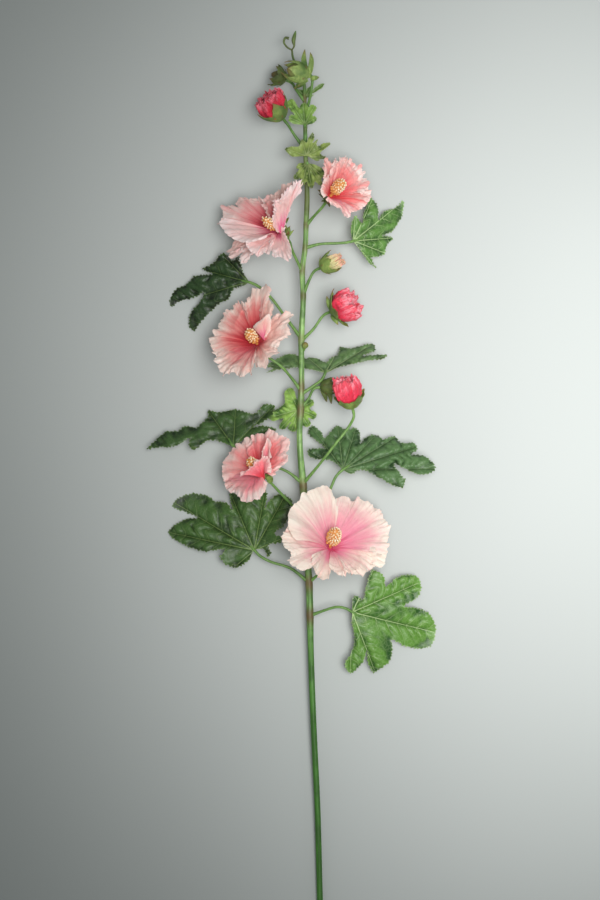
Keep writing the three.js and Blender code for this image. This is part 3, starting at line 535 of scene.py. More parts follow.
def start_material(name: str) -> tuple:
    """Starts a material.

    Args:
        name: Its name.

    Returns:
        The material, a desk on its tree, and its shader node.
    """
    made = bpy.data.materials.new(name)
    made.use_nodes = True
    return made, Desk(made.node_tree), made.node_tree.nodes["Principled BSDF"]


def bump(desk: Desk, height: bpy.types.NodeSocket, shader: bpy.types.Node, depth: float,
         strength: float = 0.6) -> None:
    """Raises a shader's surface by a height.

    Args:
        desk: The desk on the material's tree.
        height: Socket with the height.
        shader: The shader that it is for.
        depth: Height of 1, in metres.
        strength: How much of it shows.
    """
    node = desk.add("ShaderNodeBump", {"Height": height, "Distance": depth, "Strength": strength})
    desk.tree.links.new(node.outputs[0], shader.inputs["Normal"])


def dial(shader: bpy.types.Node, values: dict) -> None:
    """Sets the plain inputs of a shader."""
    for key, value in values.items():
        shader.inputs[key].default_value = value


@dataclass(frozen=True)
class PetalFinish:
    """The colours of one bloom, from its throat to its margin."""

    name: str
    throat: str
    flush: str
    body: str
    margin: str
    # colour of the painted shade on petals that lie in shade, and of random blotches
    shade: str
    throat_reach: float = 0.3
    flush_reach: float = 0.7
    margin_start: float = 0.6
    # strength of the vein streaks, and of the painted shade in the creases
    veins: float = 0.4
    bright: str = "#f283ae"

    def material(self, effects: Effects) -> bpy.types.Material:
        """Makes the material.

        Args:
            effects: The shared shader groups.

        Returns:
            The material.
        """
        made, desk, shader = start_material(self.name)
        marks = ("Share", "Across", "Tone", "Crease", "Glow", "Dusk", "Pink")
        colours = ("Throat", "Flush", "Bright", "Body", "Margin", "Shade")
        painted = desk.group(effects.blush, {
            **{key: desk.mark(key.lower()) for key in marks},
            **{key: colour(getattr(self, key.lower())) for key in colours},
            "Throat Reach": self.throat_reach, "Flush Reach": self.flush_reach,
            "Margin Start": self.margin_start, "Veins": self.veins})
        desk.tree.links.new(painted.outputs["Colour"], shader.inputs["Base Color"])
        bump(desk, painted.outputs["Height"], shader, 0.00035)
        dial(shader, {"Roughness": 0.65, "Specular IOR Level": 0.25, "Sheen Weight": 0.12,
                      "Subsurface Weight": 0.35, "Subsurface Radius": (1.0, 0.7, 0.65),
                      "Subsurface Scale": 0.0025})
        return made


@dataclass(frozen=True)
class LeafFinish:
    """The colours of one leaf."""

    name: str
    blade: str
    deep: str
    rib: str
    underside: str
    contrast: float = 0.6
    spacing: float = 9.0
    gloss: float = 0.2

    def material(self, effects: Effects) -> bpy.types.Material:
        """Makes the material.

        Args:
            effects: The shared shader groups.

        Returns:
            The material.
        """
        made, desk, shader = start_material(self.name)
        marks = ("Along", "Off", "Reach", "Under", "Puff")
        colours = ("Blade", "Deep", "Rib", "Underside")
        painted = desk.group(effects.veins, {
            **{key: desk.mark(key.lower()) for key in marks}, "Rim": desk.mark("gaps"),
            **{key: colour(getattr(self, key.lower())) for key in colours},
            "Spacing": self.spacing, "Contrast": self.contrast})
        desk.tree.links.new(painted.outputs["Colour"], shader.inputs["Base Color"])
        desk.tree.links.new(painted.outputs["Roughness"], shader.inputs["Roughness"])
        bump(desk, painted.outputs["Height"], shader, 0.0007, 0.7)
        dial(shader, {"Coat Weight": self.gloss, "Coat Roughness": 0.34, "Specular IOR Level": 0.3})
        return made


@dataclass(frozen=True)
class SkinFinish:
    """The colours of a stem, stalk or calyx: its skin, and the tint of its nodes, ribs or tips."""

    name: str
    skin: str
    tint: str
    worn: str
    amount: float = 0.6
    roughness: float = 0.5
    upper: str | None = None
    streak: float = 0.0

    def material(self, effects: Effects) -> bpy.types.Material:
        """Makes the material.

        Args:
            effects: The shared shader groups.

        Returns:
            The material.
        """
        made, desk, shader = start_material(self.name)
        ground = desk.mix(desk.mark("run"), colour(self.skin), colour(self.upper or self.skin))
        mottled = desk.group(effects.mottle, {
            "Colour": ground, "Tint": colour(self.tint), "Amount": self.amount, "Streak": self.streak})
        worn = desk.mix(desk.mark("worn"), mottled.outputs["Colour"], colour(self.worn))
        desk.tree.links.new(worn, shader.inputs["Base Color"])
        bump(desk, mottled.outputs["Height"], shader, 0.0003)
        dial(shader, {"Roughness": self.roughness, "Specular IOR Level": 0.35})
        return made


@dataclass(frozen=True)
class AntherFinish:
    """The colours of a column of anthers: fresh grains, ripe ones, and the column's foot, with the column's
    side away from the light painted darker and riper as painted shade.
    """

    name: str
    fresh: str
    ripe: str
    foot: str

    def material(self, effects: Effects) -> bpy.types.Material:
        """Makes the material.

        Args:
            effects: The shared shader groups.

        Returns:
            The material.
        """
        made, desk, shader = start_material(self.name)
        ripeness = desk.mark("ripeness")
        # The ripe and foot colours also carry painted shade on the column's side away from the light.
        grains = desk.mix(desk.ease(ripeness, 0.35, 1.0), colour(self.fresh), colour(self.ripe))
        ground = desk.mix(desk.ease(ripeness, 0.0, 0.1), colour(self.foot), grains)
        footed = desk.mix(desk.math("MULTIPLY", desk.mark("worn"), 0.8), ground, colour(self.foot))
        mottled = desk.group(effects.mottle, {
            "Colour": footed, "Tint": colour(self.ripe), "Amount": 0.3, "Streak": 0.0})
        desk.tree.links.new(mottled.outputs["Colour"], shader.inputs["Base Color"])
        bump(desk, mottled.outputs["Height"], shader, 0.0002)
        dial(shader, {"Roughness": 0.75, "Subsurface Weight": 0.1, "Subsurface Scale": 0.002})
        return made


def add_modifier(made: bpy.types.Object, tree: bpy.types.NodeTree, values: dict) -> bpy.types.Mesh:
    """Runs a geometry tree on an object once.

    Args:
        made: The object that it starts from.
        tree: The geometry tree.
        values: Value of each named input.

    Returns:
        The plain mesh that comes out, with the modifier removed again.
    """
    runner = made.modifiers.new(tree.name, "NODES")
    runner.node_group = tree
    for item in tree.interface.items_tree:
        if item.item_type == "SOCKET" and item.in_out == "INPUT" and item.name in values:
            runner[item.identifier] = values[item.name]
    bpy.context.view_layer.update()
    shaped = made.evaluated_get(bpy.context.evaluated_depsgraph_get())
    mesh = bpy.data.meshes.new_from_object(shaped)
    made.modifiers.remove(runner)
    return mesh


def new_geometry_tree(name: str, inputs: dict) -> tuple:
    """Starts a geometry tree.

    Args:
        name: The tree's name.
        inputs: Kind of each named input after the geometry.

    Returns:
        The tree, a desk on it, its input node and its output node.
    """
    tree = bpy.data.node_groups.new(name, "GeometryNodeTree")
    tree.interface.new_socket("Geometry", in_out="INPUT", socket_type="NodeSocketGeometry")
    for key, kind in inputs.items():
        tree.interface.new_socket(key, in_out="INPUT", socket_type=f"NodeSocket{kind}")
    tree.interface.new_socket("Geometry", in_out="OUTPUT", socket_type="NodeSocketGeometry")
    desk = Desk(tree)
    return tree, desk, desk.add("NodeGroupInput"), desk.add("NodeGroupOutput")


class Growth:
    """The geometry trees for what follows a path or repeats over a surface."""

    def __init__(self) -> None:
        """Builds the trees."""
        self.tube = self._tube()
        self.anthers = self._anthers()

    def _tube(self) -> bpy.types.NodeTree:
        """Builds the tree that sweeps a round stalk along a path with a radius at each point.

        Returns:
            The tree.
        """
        tree, desk, given, leave = new_geometry_tree(
            "stalk_along_path", {"Sides": "Int", "Finish": "Material"})
        thick = desk.add("GeometryNodeInputNamedAttribute", {"Name": "thick"}, data_type="FLOAT")
        path = desk.add("GeometryNodeMeshToCurve", {"Mesh": given.outputs["Geometry"]})
        ring = desk.add("GeometryNodeCurvePrimitiveCircle", {
            "Resolution": given.outputs["Sides"], "Radius": 1.0})
        sweep = desk.add("GeometryNodeCurveToMesh", {
            "Curve": path.outputs[0], "Profile Curve": ring.outputs[0],
            "Scale": thick.outputs[0], "Fill Caps": True})
        smooth = desk.add("GeometryNodeSetShadeSmooth", {"Geometry": sweep.outputs[0]})
        whole = desk.add("GeometryNodeRealizeInstances", {"Geometry": smooth.outputs[0]})
        dressed = desk.add("GeometryNodeSetMaterial", {
            "Geometry": whole.outputs[0], "Material": given.outputs["Finish"]})
        tree.links.new(dressed.outputs[0], leave.inputs[0])
        return tree

    def _anthers(self) -> bpy.types.NodeTree:
        """Builds the tree that covers a column with anthers, each turned and sized its own way, and painted
        riper where the worn mark is high, which on the column's shaded side is painted shade.

        Returns:
            The tree.
        """
        tree, desk, given, leave = new_geometry_tree(
            "anthers_on_column", {"Spacing": "Float", "Size": "Float", "Seed": "Int", "Finish": "Material"})
        core = given.outputs["Geometry"]
        worn = desk.add("GeometryNodeInputNamedAttribute", {"Name": "worn"}, data_type="FLOAT")
        bare = desk.add("FunctionNodeCompare", {0: worn.outputs[0], 1: 0.5},
                        data_type="FLOAT", operation="LESS_THAN")
        spots = desk.add("GeometryNodeDistributePointsOnFaces", {
            "Mesh": core, "Selection": bare.outputs[0], "Distance Min": given.outputs["Spacing"],
            "Density Max": 2.0e6, "Seed": given.outputs["Seed"]}, distribute_method="POISSON")
        ball = desk.add("GeometryNodeMeshIcoSphere", {"Radius": 1.05, "Subdivisions": 1})
        grain = desk.add("GeometryNodeTransform", {"Geometry": ball.outputs[0], "Translation": (0, 0, 0.9)})
        size = desk.add("FunctionNodeRandomValue", {2: 0.65, 3: 1.3, "Seed": given.outputs["Seed"]},
                        data_type="FLOAT")
        across = desk.math("MULTIPLY", size.outputs[1], given.outputs["Size"])
        tall = desk.math("MULTIPLY", across, 1.35)
        shape = desk.add("ShaderNodeCombineXYZ", {0: across, 1: tall, 2: across})
        set_on = desk.add("GeometryNodeInstanceOnPoints", {
            "Points": spots.outputs["Points"], "Instance": grain.outputs[0],
            "Rotation": spots.outputs["Rotation"], "Scale": shape.outputs[0]})
        luck = desk.add("FunctionNodeRandomValue", {2: 0.0, 3: 1.0, "Seed": given.outputs["Seed"]},
                        data_type="FLOAT")
        own = desk.math("MULTIPLY_ADD", luck.outputs[1], 0.55, 0.12)
        # Grains are painted riper where the worn mark is high; on the column's side away from the light that
        # is painted shade.
        riper_and_shaded = desk.math("MULTIPLY_ADD", worn.outputs[0], 1.4, own)
        ripe = desk.add("GeometryNodeStoreNamedAttribute", {
            "Geometry": set_on.outputs[0], "Name": "ripeness", "Value": riper_and_shaded},
            data_type="FLOAT", domain="INSTANCE")
        both = desk.add("GeometryNodeJoinGeometry")
        tree.links.new(core, both.inputs[0])
        tree.links.new(ripe.outputs[0], both.inputs[0])
        whole = desk.add("GeometryNodeRealizeInstances", {"Geometry": both.outputs[0]})
        smooth = desk.add("GeometryNodeSetShadeSmooth", {"Geometry": whole.outputs[0]})
        dressed = desk.add("GeometryNodeSetMaterial", {
            "Geometry": smooth.outputs[0], "Material": given.outputs["Finish"]})
        tree.links.new(dressed.outputs[0], leave.inputs[0])
        return tree

    def stalk(self, name: str, stations: list, finish: bpy.types.Material, sides: int = 14,
              step: float = 2.0, worn: list = ()) -> bpy.types.Object:
        """Sweeps a stalk through stations of [across, along, high, radius].

        Args:
            name: The piece's name.
            stations: The route, with the radius at each place.
            finish: Its material.
            sides: Number of sides.
            step: Distance between the rings.
            worn: Places along the picture's height, with the strength and spread of each node.

        Returns:
            The piece.
        """
        line = smooth_route(np.array(stations, float), step)
        line[:, 2] = np.maximum(line[:, 2], line[:, 3])
        marks = np.zeros(len(line))
        swell = np.zeros(len(line))
        for place, strength, spread in worn:
            near = np.exp(-((line[:, 1] - place) / spread) ** 2)
            marks = np.maximum(marks, strength * near)
            swell = np.maximum(swell, 0.12 * near)
        mesh = bpy.data.meshes.new(name + "_path")
        steps = [(i, i + 1) for i in range(len(line) - 1)]
        mesh.from_pydata(((line[:, :3] - MIDDLE) / 1000).tolist(), steps, [])
        run = smoothstep(line[:, 1], 210, 520) * (1 - 0.65 * smoothstep(line[:, 1], 690, 830))
        for key, value in (("thick", line[:, 3] * (1 + swell) / 1000), ("worn", marks), ("run", run)):
            mesh.attributes.new(key, "FLOAT", "POINT").data.foreach_set("value", value.astype(np.float32))
        path = bpy.data.objects.new(name, mesh)
        bpy.context.scene.collection.objects.link(path)
        swept = add_modifier(path, self.tube, {"Sides": sides, "Finish": finish})
        path.data = swept
        bpy.data.meshes.remove(mesh)
        swept.name = name
        return path


@dataclass
class Bearing:
    """A place that looks a certain way, with its first axis to the right of the picture."""

    origin: np.ndarray
    axis: np.ndarray
    seed: int
    root: float = PETAL_ROOT

    def __post_init__(self) -> None:
        """Works out the three axes."""
        self.origin = np.array(self.origin, float)
        self.axis = np.array(self.axis, float) / np.linalg.norm(self.axis)
        right = np.array([1.0, 0, 0]) - self.axis * self.axis[0]
        if np.linalg.norm(right) < 0.35:
            right = np.array([0, 0, 1.0]) - self.axis * self.axis[2]
        self.right = right / np.linalg.norm(right)
        self.up = np.cross(self.axis, self.right)

    def at(self, x: object, y: object, z: object) -> np.ndarray:
        """Gives places from their distances to the right, up and out."""
        x, y, z = np.broadcast_arrays(np.asarray(x, float), y, z)
        return (self.origin + x[..., None] * self.right + y[..., None] * self.up
                + z[..., None] * self.axis)

    def sighted(self, places: np.ndarray) -> np.ndarray:
        """Gives the real places of what the camera sees, each so far out along the axis.

        Args:
            places: Rows of [across, along, out], as seen on the camera's level.

        Returns:
            The places.
        """
        ray = np.column_stack([places[:, :2], np.full(len(places), LEVEL)]) - EYE
        reach = (places[:, 2] - (EYE - self.origin) @ self.axis) / (ray @ self.axis)
        return EYE + reach[:, None] * ray


@dataclass
class Cut:
    """How one petal of a bud is cut and bent: its direction, its length and its lifts."""

    turn: float
    length: float
    root_lift: float
    tip_lift: float


def petal_run(share: np.ndarray, length: np.ndarray, root_lift: np.ndarray, tip_lift: np.ndarray) -> tuple:
    """Follows a petal that bends evenly from its root to its tip.

    Args:
        share: How far along it is, from 0 to 1.
        length: Its length.
        root_lift: Its angle at the root, in degrees.
        tip_lift: Its angle at the tip.

    Returns:
        The angle there in radians, and the distances out and up from the root.
    """
    bend = np.radians(tip_lift - root_lift)
    bend = np.where(np.abs(bend) < 1e-4, 1e-4, bend)
    root = np.radians(root_lift)
    lift = root + bend * share
    out = length * (np.sin(lift) - np.sin(root)) / bend
    up = length * (np.cos(root) - np.cos(lift)) / bend
    return lift, out, up


@dataclass
class Corolla:
    """A ring of crumpled petals in a bud. overlap is in degrees."""

    bearing: Bearing
    cuts: list
    loose: float = 2.38
    pleat: float = 0.6
    overlap: float = 14.0

    def petal(self, cut: Cut, beside: tuple, order: int, rows: int, columns: int) -> Skin:
        """Shapes one petal.

        Args:
            cut: The petal.
            beside: The petals before and after it.
            order: Its number, which gives it its own edge.
            rows: Steps from its root to its edge.
            columns: Steps across it.

        Returns:
            Its surface, with its thickness.
        """
        share = (np.linspace(0, 1, rows + 1) ** 0.9)[:, None]
        side = np.linspace(-1, 1, columns + 1)[None, :]
        before, after = beside
        mix = 0.5 * side**2

        def blend(key: str) -> np.ndarray:
            """Eases a size towards that of the petal beside it."""
            other = np.where(side < 0, getattr(before, key), getattr(after, key))
            return (1 - mix) * getattr(cut, key) + mix * other

        sector = np.where(side < 0, cut.turn - before.turn, after.turn - cut.turn) / 2
        opened = smoothstep(share, 0, 0.6)
        half = (1 - opened) * sector + opened * (sector + self.overlap)
        angle = np.radians(cut.turn + side * half)
        seed, own = self.bearing.seed, self.bearing.seed + 13.0 * order
        wide = blend("length") / 60
        loose = self.loose
        drift = angle + 0.1 * (share - 0.5) * np.sin(3 * angle + own)
        edge = 1 - 0.09 * side**2 - 0.15 * side**6 + 0.03 * np.sin(5 * side + 6 * chance(seed + order))
        torn = 0.02 * wander(angle, own + 1, 31) - 0.045 * smoothstep(wander(angle, own + 2, 15), 0.35, 0.95)
        lift, out, up = petal_run(share * (edge + torn * (0.4 + 0.6 * loose)), blend("length"),
                                  blend("root_lift"), blend("tip_lift"))
        broad = 0.6 * np.sin(WAVES * angle + 6.2832 * chance(seed)) + 0.6 * wander(drift, own + 3, 7)
        fold = wander(drift, own + 4, 17)
        away = RIPPLE * wide * share**1.6 * broad
        away = away + 1.5 * self.pleat * wide * smoothstep(share, 0.05, 0.5) * fold
        away = away + 1.2 * loose * wide * share**3.2 * wander(drift, own + 5, 14)
        away = away + 1.2 * loose * wide * share**9 * wander(angle, own + 6, 31)
        round_it = np.abs(wander(angle + 0.8 * share, own + 7, 2.8))
        along_it = np.abs(wander(2.6 * share - 0.5 * angle, own + 9, 3.0))
        crumpled = np.minimum(round_it, along_it)
        away = away + 4.2 * loose * wide * smoothstep(share, 0.1, 0.5) * (crumpled - 0.25)
        away = away + OVERLAP * side * smoothstep(share, 0.05, 0.4) * np.minimum(1, wide * 2)
        reach = self.bearing.root + out - np.sin(lift) * away
        points = self.bearing.at(reach * np.cos(angle), reach * np.sin(angle), up + np.cos(lift) * away)
        points = settled(points)
        # The crease mark paints the valleys of the folds deeper pink, partly as painted shade, darkest in the
        # deepest crumples.
        crease = fold * self.pleat + 0.4 * loose * share * wander(drift, own + 5, 22)
        crease = crease * smoothstep(share, 0.05, 0.5)
        crease = crease - 1.2 * (1 - smoothstep(crumpled, 0.02, 0.2))
        whole = 0 * share + 0 * side
        marks = {"share": share + whole, "across": angle * wide + whole, "crease": crease,
                 "glow": whole + 1, "tone": whole + order * 3.7}
        return Skin.grid(points, marks).thickened(PETAL_THICKNESS)

    def skins(self, rows: int, columns: int) -> list:
        """Shapes all petals of the ring.

        Args:
            rows: Steps from a petal's root to its edge.
            columns: Steps across it.

        Returns:
            The petals' surfaces.
        """
        ring = sorted(self.cuts, key=lambda cut: cut.turn)
        count = len(ring)
        made = []
        for i, cut in enumerate(ring):
            before = replace(ring[i - 1], turn=ring[i - 1].turn - (360 if i == 0 else 0))
            after = replace(ring[(i + 1) % count],
                            turn=ring[(i + 1) % count].turn + (360 if i == count - 1 else 0))
            made.append(self.petal(cut, (before, after), i, rows, columns))
        return made


def throat_floor(bearing: Bearing) -> Skin:
    """Closes the bottom of a flower's throat, where the petals' roots meet.

    Args:
        bearing: The flower's bearing.

    Returns:
        A small disc, with its thickness.
    """
    angle = np.linspace(0, 2 * np.pi, 24, endpoint=False)[None, :]
    radius = np.array([0.2, 0.6, 1.05])[:, None] * bearing.root
    points = bearing.at(radius * np.cos(angle), radius * np.sin(angle), 0 * radius + 0.05)
    whole = 0 * angle * radius
    marks = {"share": whole, "across": angle + whole, "glow": 1 + whole}
    return Skin.grid(points[:, ::-1], marks, wraps=True).thickened(PETAL_THICKNESS)


@dataclass
class DrawnPetal:
    """A petal drawn round its free edge, in places [across, along, out] as the camera sees them.

    out is how far along the bloom's axis each place is. bow is how far the petal bulges forward
    between its root and its edge, pink how far its glow turns to pink, and root where it starts
    when that is not the throat.
    """

    margin: list
    bow: float = 4.0
    crumple: float = 1.0
    glow: float = 1.0
    # how far painted shade greys the petal, where it lies in shade
    dusk: float = 0.0
    fold: float = 1.0
    pink: float = 0.0
    root: list | None = None

    def skin(self, bearing: Bearing, seed: float) -> Skin:
        """Shapes it.

        Args:
            bearing: The bloom's bearing.
            seed: What gives it its own folds.

        Returns:
            Its surface, with its thickness.
        """
        edge = bearing.sighted(smooth_route(np.array(self.margin, float), 0.9))
        spread = edge - bearing.origin
        flat = spread - (spread @ bearing.axis)[:, None] * bearing.axis
        foot = bearing.origin + flat / np.linalg.norm(flat, axis=1)[:, None] * bearing.root
        if self.root:
            start = bearing.sighted(np.array([self.root], float))[0]
            foot = start + (edge - start) * 0.04
        reach = np.linalg.norm(edge - foot, axis=1)
        run = np.concatenate([[0], np.cumsum(np.linalg.norm(np.diff(edge, axis=0), axis=1))])
        angle = (run / max(np.mean(reach), 8.0))[None, :]
        share = np.linspace(0, 1, 33)[:, None]
        wide, own = np.mean(reach) / 45, seed + 5.0
        torn = 0.025 * wander(angle, own + 1, 30) - 0.04 * smoothstep(wander(angle, own + 2, 14), 0.4, 0.95)
        along = share * (1 + torn * self.crumple * share**3)
        points = foot + (edge - foot) * along[..., None]
        points = points + (self.bow * 4 * share * (1 - share))[..., None] * bearing.axis
        normal = unit(np.cross(np.gradient(points, axis=0), np.gradient(points, axis=1)))
        drift = angle + 0.14 * (share - 0.5) * np.sin(3 * angle + own)
        folded = self.fold * (0.15 + 0.85 * smoothstep(wander(angle, own + 8, 3.1), -0.2, 0.7))
        fold = folded * wander(drift, own + 4, 7.5)
        frill = wander(drift, own + 5, 15)
        away = 2.6 * wide * share**1.4 * wander(angle, own + 3, 3.6)
        away = away + 1.2 * wide * smoothstep(share, 0.1, 0.75) * fold
        away = away + 2.0 * self.crumple * wide * share**5.5 * frill
        away = away + 1.3 * self.crumple * wide * share**12 * wander(angle, own + 6, 31)
        pucker = wander(3 * share + angle, own + 9, 5)
        away = away + 0.9 * self.crumple * wide * smoothstep(share, 0.2, 0.8) * pucker
        away = away + 0.12 * wide * smoothstep(share, 0.1, 0.5) * wander(drift, own + 7, 40)
        points = settled(points + away[..., None] * normal)
        whole = 0 * share + 0 * angle
        # The crease mark paints the valleys of the folds deeper pink, partly as painted shade.
        crease = (fold + 0.5 * self.crumple * share**2 * frill) * share**0.5
        marks = {"share": share + whole, "across": angle * wide + whole, "crease": crease + whole,
                 "glow": whole + self.glow, "dusk": whole + self.dusk, "pink": whole + self.pink,
                 "tone": whole + seed % 17}
        return Skin.grid(points, marks).thickened(PETAL_THICKNESS)


def sliver(route: list, width: float, folded: float = 0.4) -> Skin:
    """Shapes one slim bract or sepal along a route.

    Args:
        route: Places as the camera sees them, with their heights, from its root to its tip.
        width: Its greatest width.
        folded: How far its sides stand up, as a share of their width.

    Returns:
        Its surface.
    """
    line = smooth_route(seen(route), 0.9)
    share = np.linspace(0, 1, len(line))[:, None]
    side = np.linspace(-1, 1, 7)[None, :]
    ahead = np.gradient(line, axis=0)
    ahead /= np.linalg.norm(ahead, axis=1, keepdims=True)
    beside = unit(np.cross(ahead, [0.0, 0.0, 1.0]))
    above = np.cross(beside, ahead)
    half = width / 2 * np.sin(np.pi * np.clip(share, 0.1, 0.985) ** 0.75) ** 0.75
    points = (line[:, None] + (side * half)[..., None] * beside[:, None]
              + (folded * side**2 * half)[..., None] * above[:, None])
    worn = smoothstep(share, 0.72, 1.0) * 0.7 + 0 * side
    return Skin.grid(settled(points)[:, ::-1], {"worn": worn}).thickened(SLIVER_THICKNESS)


def turned(bearing: Bearing, rings: list, sides: int, marks: dict, rough: float) -> Skin:
    """Turns a closed body about a bearing's axis.

    Args:
        bearing: Where it stands.
        rings: Its rings, as [height, radius].
        sides: Number of sides.
        marks: Values for each ring.
        rough: How uneven it is, as a share of its radius.

    Returns:
        Its surface.
    """
    outline = smooth_route(np.array(rings, float), 0.7)
    angle = np.linspace(0, 2 * np.pi, sides, endpoint=False)[None, :]
    height, radius = outline[:, :1], np.maximum(outline[:, 1:2], 0.05)
    uneven = 1 + rough * np.sin(3 * angle + height) * np.sin(5 * angle - 1.3 * height)
    points = bearing.at(radius * uneven * np.cos(angle), radius * uneven * np.sin(angle), height + 0 * angle)
    share = np.linspace(0, 1, len(outline))
    given = {key: np.interp(share, np.linspace(0, 1, len(value)), value)[:, None] + 0 * angle
             for key, value in marks.items()}
    skin = Skin.grid(points[:, ::-1], {key: v[:, ::-1] for key, v in given.items()}, wraps=True)
    last = len(outline) - 1
    skin.faces.append(list(range(sides)))
    skin.faces.append([last * sides + j for j in reversed(range(sides))])
    return skin


@dataclass
class CalyxCup:
    """A cup of joined sepals that ends in five pointed lobes."""

    bearing: Bearing
    rings: list
    length: float
    turn: float
    root_lift: float
    tip_lift: float
    notch: float = 0.2
    points: int = 5

    def skin(self) -> Skin:
        """Shapes the cup and its lobes.

        Returns:
            Its surface, with its thickness.
        """
        columns = LOBE_STEPS * self.points
        angle = np.linspace(0, 2 * np.pi, columns, endpoint=False)
        place = (np.arange(columns) / LOBE_STEPS) % 1
        away = np.abs(np.where(place > 0.5, place - 1, place)) * 2
        lobe = np.round(np.arange(columns) / LOBE_STEPS).astype(int) % self.points
        stretches = [1 + 0.2 * (chance(self.bearing.seed + i) - 0.5) for i in range(self.points)]
        stretch = np.array(stretches)[lobe]
        edge = (self.notch + (1 - self.notch) * (1 - away**0.85) ** 1.05) * stretch
        heights, radii, worn = [], [], []
        cup = smooth_route(np.array(self.rings, float), 1.2)
        for height, radius in cup:
            heights.append(np.full(columns, height))
            radii.append(np.full(columns, radius))
            worn.append(np.zeros(columns))
        rib = 0.5 * np.exp(-((away / 0.18) ** 2))
        for share in np.linspace(0, 1, 15)[1:]:
            _, out, up = petal_run(share * edge, self.length, np.full(columns, self.root_lift), self.tip_lift)
            cupped = 1.1 * (away * share) * np.minimum(1, self.length / 16)
            bent = 0.9 * share**2 * wander(angle, self.bearing.seed + 2, 7) * np.minimum(1, self.length / 14)
            radii.append(self.rings[-1][1] + out - 0.4 * cupped + rib * share * (1 - share) - 0.6 * bent)
            heights.append(self.rings[-1][0] + up + cupped + bent)
            worn.append(smoothstep(share * edge, 0.62, 1.05) * 0.9)
        radius, height = np.array(radii), np.array(heights)
        turn = angle + math.radians(self.turn)
        points = settled(self.bearing.at(radius * np.cos(turn), radius * np.sin(turn), height))
        return Skin.grid(points, {"worn": np.array(worn)}, wraps=True).thickened(SEPAL_THICKNESS)


def slim_bract(bearing: Bearing, turn: float, root: tuple, length: float, width: float,
               lifts: tuple) -> Skin:
    """Shapes one slim bract under a bloom.

    Args:
        bearing: The bloom's bearing.
        turn: Its direction in degrees.
        root: Height and radius of its root.
        length: Its length.
        width: Its greatest width.
        lifts: Its angles at the root and at the tip, in degrees.

    Returns:
        Its surface.
    """
    share = np.linspace(0, 1, 12)[:, None]
    side = np.linspace(-1, 1, 7)[None, :]
    _, out, up = petal_run(share, length, np.array(lifts[0]), np.array(lifts[1]))
    half = width / 2 * np.sin(np.pi * np.clip(share, 0.08, 0.985) ** 0.75) ** 0.8
    direction = math.radians(turn)
    ahead = np.array([math.cos(direction), math.sin(direction)])
    beside = np.array([-ahead[1], ahead[0]])
    x = (root[1] + out) * ahead[0] + side * half * beside[0]
    y = (root[1] + out) * ahead[1] + side * half * beside[1]
    points = settled(bearing.at(x, y, root[0] + up + 0.35 * side**2 * half))
    worn = smoothstep(share, 0.6, 1.0) * 0.8 + 0 * side
    return Skin.grid(points, {"worn": worn}).thickened(BRACT_THICKNESS)


